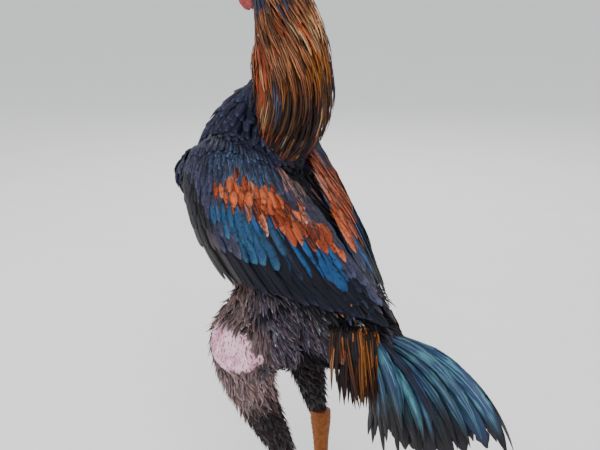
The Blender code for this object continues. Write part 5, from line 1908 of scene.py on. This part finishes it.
# %% The tiers of a wing
# Each tier: name, feathers, first and last share, start and end, rise, lap, outline, steps, corners.
WING_TIERS = [
    ("primaries", 8, (0.09, 0.42), (0.30, 1.00), -0.0086, 1.55, "blade", 16, 12),
    ("secondaries", 15, (0.40, 1.02), (0.28, 1.00), -0.0078, 1.40, "blade", 16, 12),
    ("tertials", 7, (0.62, 1.04), (0.26, 0.86), -0.0062, 1.50, "blade", 14, 12),
    ("greater_coverts", 24, (0.07, 1.00), (0.40, 0.755), -0.0046, 1.65, "broad", 10, 8),
    ("second_coverts", 26, (0.06, 1.00), (0.36, 0.64), -0.0036, 1.65, "broad", 9, 8),
    ("median_coverts", 27, (0.06, 1.00), (0.34, 0.545), -0.0028, 1.65, "round", 8, 8),
] + [
    ("lesser_coverts", 27, (0.045 + 0.02 * (row % 2), 0.98 + 0.02 * (row % 2)), (end - 0.115, end),
     -0.0021 + 0.00025 * row, 1.6, "round", 7, 6)
    for row, end in enumerate((0.475, 0.430, 0.386, 0.343, 0.301, 0.260, 0.220, 0.182, 0.146, 0.112))
]
WING_ROOT_DEPTH = 0.0135
WING_HEAD_DEPTH = 0.024
WING_TIP_LIFT = 0.0013
WING_REST = 0.009
# Near its head the wing's front stoops by so much of a line.
WING_STOOP = 0.055
# How far the coverts of each wing go on over the back, and how far the tips of the front feathers bend in.
WING_MEET = {"left": 0.16, "right": 0.10}
WING_SWEEP = 0.07
# The wing's front edge turns in towards the body by this much.
WING_ROUND = 0.030
WING_ROLL = math.radians(7.0)
# Tiers that start above this are the shoulder's, rooted deeper in the wing's head.
SHOULDER_START = 0.10
# How much the colour patches' edges differ from feather to feather.
PATCH_JITTER = 0.024
# Colour patches of the wing: share round it and way down it, their reach, ground and fringe.
WING_PATCHES = [
    ((0.14, 0.68), (0.32, 0.56), "grey", "grey_rim"),
    ((0.36, 0.86), (0.055, 0.26), "grey_brown", "grey_rim"),
    ((0.86, 0.98), (0.66, 0.40), "blue_black", "steel"),
    ((0.74, 0.18), (0.36, 0.13), "slate", "teal_scallop"),
    ((0.60, 0.620), (0.22, 0.220), "blue", "teal"),
    ((0.86, 0.635), (0.25, 0.200), "bright_blue", "blue"),
    ((1.03, 0.29), (0.16, 0.08), "slate", "purple_rim"),
    ((0.74, 0.385), (0.27, 0.155), "rust", "orange"),
    ((0.95, 0.458), (0.28, 0.150), "rust", "orange"),
    ((1.07, 0.20), (0.12, 0.11), "slate", "salmon"),
]
FAR_WING_PATCHES = WING_PATCHES + [((0.96, 0.34), (0.18, 0.29), "rust", "orange")]
# In the orange of the wing, some feathers are black or slate and some have pale ends.
BOW_KINDS = [
    (0.18, "black", "orange"), (0.06, "slate", "orange_pale"), (0.08, None, "salmon"),
    (0.34, "orange", "orange_pale"),
]
BLUE_KINDS = [(0.05, "blue_black", None), (0.07, "blue_black", "steel"), (0.10, "blue", "teal")]
# Dice of their own keep the wings as they are when other pieces change.
WING_DICE = {"left": 21, "right": 22}


def wing_painted(share, way, patches):
    """The colours of wing feathers by the patch that each one's visible part lies in."""
    spots = np.stack([share, way], axis=1)
    colours = plain(len(spots), "slate", "slate_rim")
    for middle, reach, under, edge in patches:
        jitter = dice.normal(0, PATCH_JITTER, spots.shape)
        colours = blended(colours, (under, edge), np.round(near(spots + jitter, middle, reach))[:, None])
    red, blue = colours[0][:, 0], colours[0][:, 2]
    colours = speckled(colours, BOW_KINDS, among=red > 4 * blue)
    return speckled(colours, BLUE_KINDS, among=blue > 3 * red)


def wing_tier(coat, side, tier):
    _, count, (first, last), (start, end), rise, lap, shape, steps, corners = tier
    if shape != "blade":
        last = last + WING_MEET[side] * float(soft_step(end, 0.12, 0.32))
    shares = np.linspace(first, last, count)
    step = (last - first) / (count - 1)
    shares = shares + dice.normal(0, step * 0.10, count)
    starts = start + dice.normal(0, 0.008, count)
    ends = end + dice.normal(0, 0.010, count)
    t = steps_along(steps)[None, :]
    ways = starts[:, None] + (ends - starts)[:, None] * t
    depth = WING_ROOT_DEPTH * min(1, (end - start) / 0.3)
    sink = np.interp(t, [0, 0.18, 1], [-depth, rise - WING_TIP_LIFT, rise])
    if start < SHOULDER_START:
        sink = np.interp(t, [0, 0.55, 1], [-WING_HEAD_DEPTH, rise - 0.0035, rise])
    stray = dice.normal(0, 0.0006, count)[:, None] * t
    line = shares[:, None] + 0 * t
    ways = ways + WING_STOOP * np.exp(-((line - 0.26) / 0.20) ** 2) * (1 - soft_step(ways, 0.10, 0.45))
    line = line + WING_SWEEP * soft_step(ways, 0.55, 1.0) * np.clip(1 - 2 * line, 0, 1)
    sink = sink - WING_ROUND * np.clip(1 - line / 0.26, 0, 1) ** 2
    sink = sink - WING_REST * soft_step(ways, 0.45, 0.95) * soft_step(line, 0.6, 1.0)
    spines = wing_point(line, ways, sink + stray, side)
    outs = unit(wing_point(line, ways, 0.004, side) - wing_point(line, ways, 0.0, side))
    middle = (ways[:, 0] + ways[:, -1]) / 2
    edges = [wing_point(shares + half_step, middle, 0, side) for half_step in (step / 2, -step / 2)]
    gap = np.linalg.norm(edges[0] - edges[1], axis=1)
    halves = outline(shape, t)[0][None, :] * (gap * lap / 2)[:, None]
    roll = WING_ROLL * SIDES[side]
    along = unit(np.gradient(spines, axis=1))
    outs = outs * math.cos(roll) + np.cross(along, outs) * math.sin(roll)
    patches = WING_PATCHES if side == "left" else FAR_WING_PATCHES
    visible = ends - np.minimum(0.030, (ends - starts) * 0.22)
    colours = weathered(wing_painted(shares, visible, patches), 0.13)
    ragged = 0.10 if shape == "blade" else 0.26
    coat.add(spines, outs, halves, colours, thick=0.0005, camber=0.16, corners=corners, ragged=ragged)


# %% Finishes of the wing and the tail

QUILL_FEATHER = feather_finish("quill_feather", rim=(0.80, 1.0), tip=(0.94, 1.0), shaft=0.055, rough=0.48,
                               coat=0.10, shaft_light=0.6, barb_depth=0.0003)
# The coverts and the tail feathers take streaks of painted sheen.
COVERT_FEATHER = feather_finish("covert_feather", rim=(0.62, 0.98), tip=(0.86, 0.99), shaft=0.05, rough=0.44,
                                coat=0.12, flecks=0.6, barb_contrast=0.28, streaks=0.55)
TAIL_FEATHER = feather_finish("tail_feather", rim=(0.86, 1.0), tip=(0.97, 1.0), shaft=0.06, rough=0.40,
                              coat=0.30, shaft_light=0.8, barb_depth=0.0003, streaks=0.8)

# %% Both wings
for side in SIDES:
    dice = np.random.default_rng(WING_DICE[side])
    quills, coverts = Coat("wing_quills_" + side), Coat("wing_coverts_" + side)
    for tier in WING_TIERS:
        wing_tier(quills if tier[6] == "blade" else coverts, side, tier)
    wing = coverts.made(COVERT_FEATHER, "wing_feathers")
    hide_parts("wing_" + side)
    quills.made(QUILL_FEATHER, "wing_feathers")

# %% [markdown]
# ## The saddle and the tail
#
# From the rump hang the saddle hackles, long and narrow, brown and golden over black ends. Behind them
# the tail droops in an arc: seven broad main feathers a side in a folded fan, two long sickles on top,
# and layers of narrow coverts on each flank. A tail feather bends in one upright plane. So its spine is
# walked step by step, with a pitch that runs from the one it leaves at to the one it droops to.

# %% Saddle hackles
SADDLE_LINE = [(6.25, 74), (6.40, 68), (6.55, 60), (6.72, 52), (6.90, 38)]
SADDLE_COUNT = 170
SADDLE_STEPS = 10
SADDLE_FALL = np.array((-0.16, 0.08, -1.0))
SADDLE_PATCHES = [
    ((-0.132, 0.050, 0.300), (0.028, 0.080, 0.120), "black", "coal_rim", True),
    ((-0.165, 0.030, 0.315), (0.023, 0.060, 0.080), "streak", "amber", True),
    ((-0.135, 0.060, 0.255), (0.080, 0.070, 0.040), "black", "coal_rim", True),
]
SADDLE_KINDS = [
    (0.36, "black", "streak"), (0.16, "black", "brown_rim"), (0.03, "rust", "golden"), (0.04, None, "amber"),
]
SADDLE_LENGTH = 0.088
SADDLE_HALF = 0.0027
SADDLE_OUTS = np.array((-0.35, 1.0, 0.25))
# Between these heights the hackles turn dark towards their ends.
SADDLE_DARK = (0.296, 0.334)
# The shares of its length by which a hackle has left the rump and hangs free.
SADDLE_BENDS = [0, 0.14, 0.58, 1]
dice = np.random.default_rng(31)
saddle = Coat("saddle_hackles")
for side, sign in SIDES.items():
    share = (np.arange(SADDLE_COUNT) + 0.5) / SADDLE_COUNT
    place, angle = on_line(SADDLE_LINE, share)
    place = place + dice.uniform(-0.16, 0.16, SADDLE_COUNT)
    angle = angle + dice.uniform(-9, 9, SADDLE_COUNT)
    sizes = SADDLE_LENGTH * dice.uniform(0.45, 1.18, SADDLE_COUNT)
    t = steps_along(SADDLE_STEPS)
    out = np.interp(t, SADDLE_BENDS, [-0.008, 0.003, 0.007, 0.005])
    drop = np.interp(t, SADDLE_BENDS, [0, 0.13, 0.58, 1])
    stand = dice.uniform(0.3, 1.25, SADDLE_COUNT)[:, None]
    out = np.where(out < 0, out, out * stand)
    roots = on_form(TRUNK, place[:, None] + 0 * t, angle[:, None] + 0 * t, BACK_AND_UP, out)
    fall = SADDLE_FALL + dice.normal(0, 0.07, (SADDLE_COUNT, 3)) * (1, 1, 0)
    spines = roots + fall[:, None] * (sizes[:, None] * drop[None, :])[..., None]
    outs = unit(np.tile(SADDLE_OUTS, spines.shape[:2] + (1,)))
    spines[..., 1] *= sign
    outs[..., 1] *= sign
    half = SADDLE_HALF * dice.uniform(0.8, 1.2, SADDLE_COUNT)
    halves = outline("long_lancet", t)[None, :] * half[:, None]
    colours = speckled(painted(spines[:, COLOUR_STEP], SADDLE_PATCHES, "streak", "rust"), SADDLE_KINDS)
    height = spines[..., 2:] + dice.normal(0, 0.012, (SADDLE_COUNT, 1, 1))
    low = 0.85 * (1 - soft_step(height, *SADDLE_DARK))
    colours = ending_in(weathered(colours, 0.2), ("black", "streak"), low)
    saddle.add(spines, outs, halves, colours, camber=0.3)
saddle.made(HACKLE_FEATHER, "hackle_feathers")

# %% Tail feathers
TAIL_ROOT = np.array((-0.160, 0.0, 0.340))
# A row on one side: name, count, out, up, pitch it leaves at, pitch it droops to, yaw, tilt, length, width,
# outline, steps, corners, scatter and colours; a pair runs from the row's top feather to its lowest.
TAIL_ROWS = [
    ("main", 7, (0.0045, 0.0130), (0.010, -0.024), (4, -58), (-60, -85), (3, 18), (25, 5), (0.194, 0.084),
     0.030, "blade", 22, 12, 0.4, ("tail_blue", "tail_teal")),
    ("lower_main", 6, (0.0080, 0.0150), (0.002, -0.022), (-14, -62), (-66, -86), (8, 22), (22, 8),
     (0.170, 0.080), 0.024, "blade", 18, 12, 1.0, ("black", "tail_teal")),
    ("sickle", 1, (0.0028, 0.0028), (0.014, 0.014), (14, 14), (-68, -68), (1.5, 1.5), (35, 35),
     (0.232, 0.232), 0.022, "sickle", 26, 12, 0.0, ("tail_blue", "tail_gloss")),
    ("lesser_sickles", 5, (0.0050, 0.0120), (0.016, 0.004), (12, -10), (-64, -72), (4, 16), (35, 25),
     (0.205, 0.150), 0.015, "sickle", 20, 8, 1.5, ("tail_blue", "tail_gloss")),
    ("side_coverts", 13, (0.0160, 0.0180), (0.018, -0.022), (-8, -66), (-66, -84), (14, 30), (25, 18),
     (0.155, 0.086), 0.015, "long_lancet", 16, 8, 3.0, ("tail_teal", "tail_gloss")),
    ("outer_coverts", 13, (0.0185, 0.0200), (0.018, -0.018), (-14, -68), (-70, -84), (20, 36), (22, 16),
     (0.118, 0.066), 0.013, "long_lancet", 14, 8, 4.0, ("tail_blue", "tail_gloss")),
    ("under_coverts", 8, (0.0120, 0.0190), (-0.008, -0.030), (-74, -84), (-84, -97), (4, 24), (12, 4),
     (0.122, 0.084), 0.013, "long_lancet", 12, 8, 4.0, ("black", "coal_rim")),
]
# Worn, whitish places of the tail, with their reach.
TAIL_WORN = [
    ((-0.200, 0.030, 0.361), (0.018, 0.05, 0.012)),
    ((-0.264, 0.030, 0.331), (0.028, 0.05, 0.013)),
    ((-0.272, 0.030, 0.270), (0.014, 0.05, 0.036)),
    ((-0.344, 0.030, 0.322), (0.022, 0.05, 0.016)),
]
TAIL_KINDS = [
    (0.16, "black", "tail_teal"), (0.08, "blue_black", "tail_blue"), (0.08, "tail_teal", "pale_green"),
]


# Between these heights the feathers turn dark towards their ends.
TAIL_DARK = (0.262, 0.306)
# How far ahead of the tail's root the quills and the coverts are rooted.
QUILLS_AHEAD = 0.002
COVERTS_AHEAD = 0.012
LOWEST = 0.004


def even(pair, share):
    """Values from one end of a row to the other."""
    return pair[0] + (pair[1] - pair[0]) * share


# %% Laying the tail
dice = np.random.default_rng(41)
tail_quills, tail_coverts = Coat("tail_feathers"), Coat("tail_coverts")
for row in TAIL_ROWS:
    _, count, out, up, leaves, droops, yaw, tilt, length, width, shape, steps, corners, scatter, pair = row
    for side, sign in SIDES.items():
        share = np.linspace(0, 1, count)
        stray = dice.normal(0, 1, (4, count)) * scatter
        turn = np.radians(even(yaw, share) + stray[0])
        leaving, drooping = even(leaves, share) + stray[1], even(droops, share) + stray[2] * 1.5
        lean = np.radians(even(tilt, share))
        sizes = even(length, share) * (1 + stray[3] * 0.02)
        across = np.stack([np.sin(turn), np.cos(turn), 0 * turn], axis=1)
        back = np.stack([-np.cos(turn), np.sin(turn), 0 * turn], axis=1)
        ahead = QUILLS_AHEAD if corners == 12 else COVERTS_AHEAD
        point = TAIL_ROOT + np.stack([ahead + 0 * share, even(out, share), even(up, share)], axis=1)
        t = steps_along(steps)
        spines, outs = [], []
        for i in range(steps):
            pitch = np.radians(leaving + (drooping - leaving) * t[i])[:, None]
            way = back * np.cos(pitch) + UP * np.sin(pitch)
            if i:
                point = point + way * (sizes * (t[i] - t[i - 1]))[:, None]
            spines.append(point)
            outs.append(across * np.cos(lean)[:, None] + np.cross(across, way) * np.sin(lean)[:, None])
        spines, outs = np.stack(spines, axis=1), np.stack(outs, axis=1)
        spines[..., 2] = np.maximum(spines[..., 2], LOWEST)
        spines[..., 1] *= sign
        outs[..., 1] *= sign
        halves = outline(shape, t)[None, :] * (width / 2 * dice.uniform(0.92, 1.08, count))[:, None]
        colours = speckled(plain(count, *pair), TAIL_KINDS)
        height = spines[..., 2] + dice.normal(0, 0.008, count)[:, None]
        low = (1 - soft_step(height, *TAIL_DARK))[..., None]
        ground, fringe = ending_in(weathered(colours, 0.12), ("black", "coal_rim"), low)
        for place, reach in () if shape == "sickle" else TAIL_WORN:
            hit = dice.uniform(0, 1, (count, 1)) < 0.1 * (1 + scatter)
            worn = (near(spines * (1, sign, 1), place, reach) * hit)[..., None]
            ground = ground + (np.array(COLOURS["pale_green"]) - ground) * worn * 0.6
            fringe = fringe + (np.array(COLOURS["whitish"]) - fringe) * worn
        coat = tail_quills if corners == 12 else tail_coverts
        coat.add(spines, outs, halves, (ground, fringe), thick=0.0005, camber=0.14, corners=corners,
                 ragged=0.30)
tail_piece = tail_quills.made(TAIL_FEATHER, "tail_feathers")
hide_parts("tail")
tail_coverts.made(TAIL_FEATHER, "tail_feathers")

# %% [markdown]
# ## The skin's finish
#
# Under the feathers the skin carries the coat's own markings, darkened as painted shade, so that no gap
# shines through. On the face and throat it is the red of a cock in health, pebbled and a little wet. The
# bare patch of the thigh is pink and grainy.

# %% Skin finish
FACE_RED = paint(152, 34, 32)
FACE_DARK = paint(96, 20, 23)
FACE_PALE = paint(206, 92, 78)
QUILL_DARK = paint(52, 44, 50)
UNDER_COAT_SHADE = 0.55
DEEPEST_FOLD = 0.0012
# Under the coat the skin takes the coat's ground, darkened: painted shade in the gaps between feathers.
tell(skin.data, "ground", painted(skin_points, BODY_PATCHES)[0] * UNDER_COAT_SHADE)
tell(skin.data, "face", bare_face)
tell(skin.data, "bare", in_bare_patch)
tell(skin.data, "fold", np.clip(-moves / DEEPEST_FOLD, 0, 1))
skin_finish = Finish("bare_skin", Roughness=0.5, Subsurface_Weight=0.08, Subsurface_Scale=0.004)
spot = skin_finish.place()
blotch = skin_finish.noise(spot, 70.0)
grain = skin_finish.cells(spot, 520.0)
pores = skin_finish.cells(spot, 300.0, feature="F1")
red = skin_finish.mix(FACE_RED, FACE_DARK, blotch.ramp(0.45, 0.75))
red = skin_finish.mix(red, FACE_PALE, grain.ramp(0.10, 0.35) * 0.16)
# The folds of the face and throat are darkened to a deeper red: painted shade.
red = skin_finish.mix(red, FACE_DARK, skin_finish.told("fold", outlet=2) * 0.8)
pink = skin_finish.mix(paint(226, 184, 200), paint(194, 126, 154), blotch.ramp(0.38, 0.66))
pink = skin_finish.mix(pink, QUILL_DARK, (1 - pores.ramp(0.12, 0.24)) * 0.5)
colour = skin_finish.mix(skin_finish.told("ground"), pink, skin_finish.told("bare", outlet=2).ramp(0.25, 0.6))
colour = skin_finish.mix(colour, red, skin_finish.told("face", outlet=2))
skin_finish.out("Base Color", colour)
skin_finish.out("Roughness", (0.42 + blotch * 0.25).clamped())
skin_finish.bump(grain.ramp(0.0, 0.25) * 0.6 + blotch * 0.4, 0.00025)
skin.data.materials.clear()
skin.data.materials.append(skin_finish.material)
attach(skin, "root")
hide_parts("torso", "neck", "head", "thigh_left", "thigh_right")

# %% [markdown]
# ## Measuring the result
#
# A coat must not make the bird larger than its solids say. So the dressed bird is measured as the solids
# were, and the two boxes are written down side by side.

# %% Sizes
visual_low, visual_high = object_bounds()
for name, low, high in (("solids", cad_low, cad_high), ("dressed", visual_low, visual_high)):
    print(name, tuple(round(v, 4) for v in low), tuple(round(v, 4) for v in high))
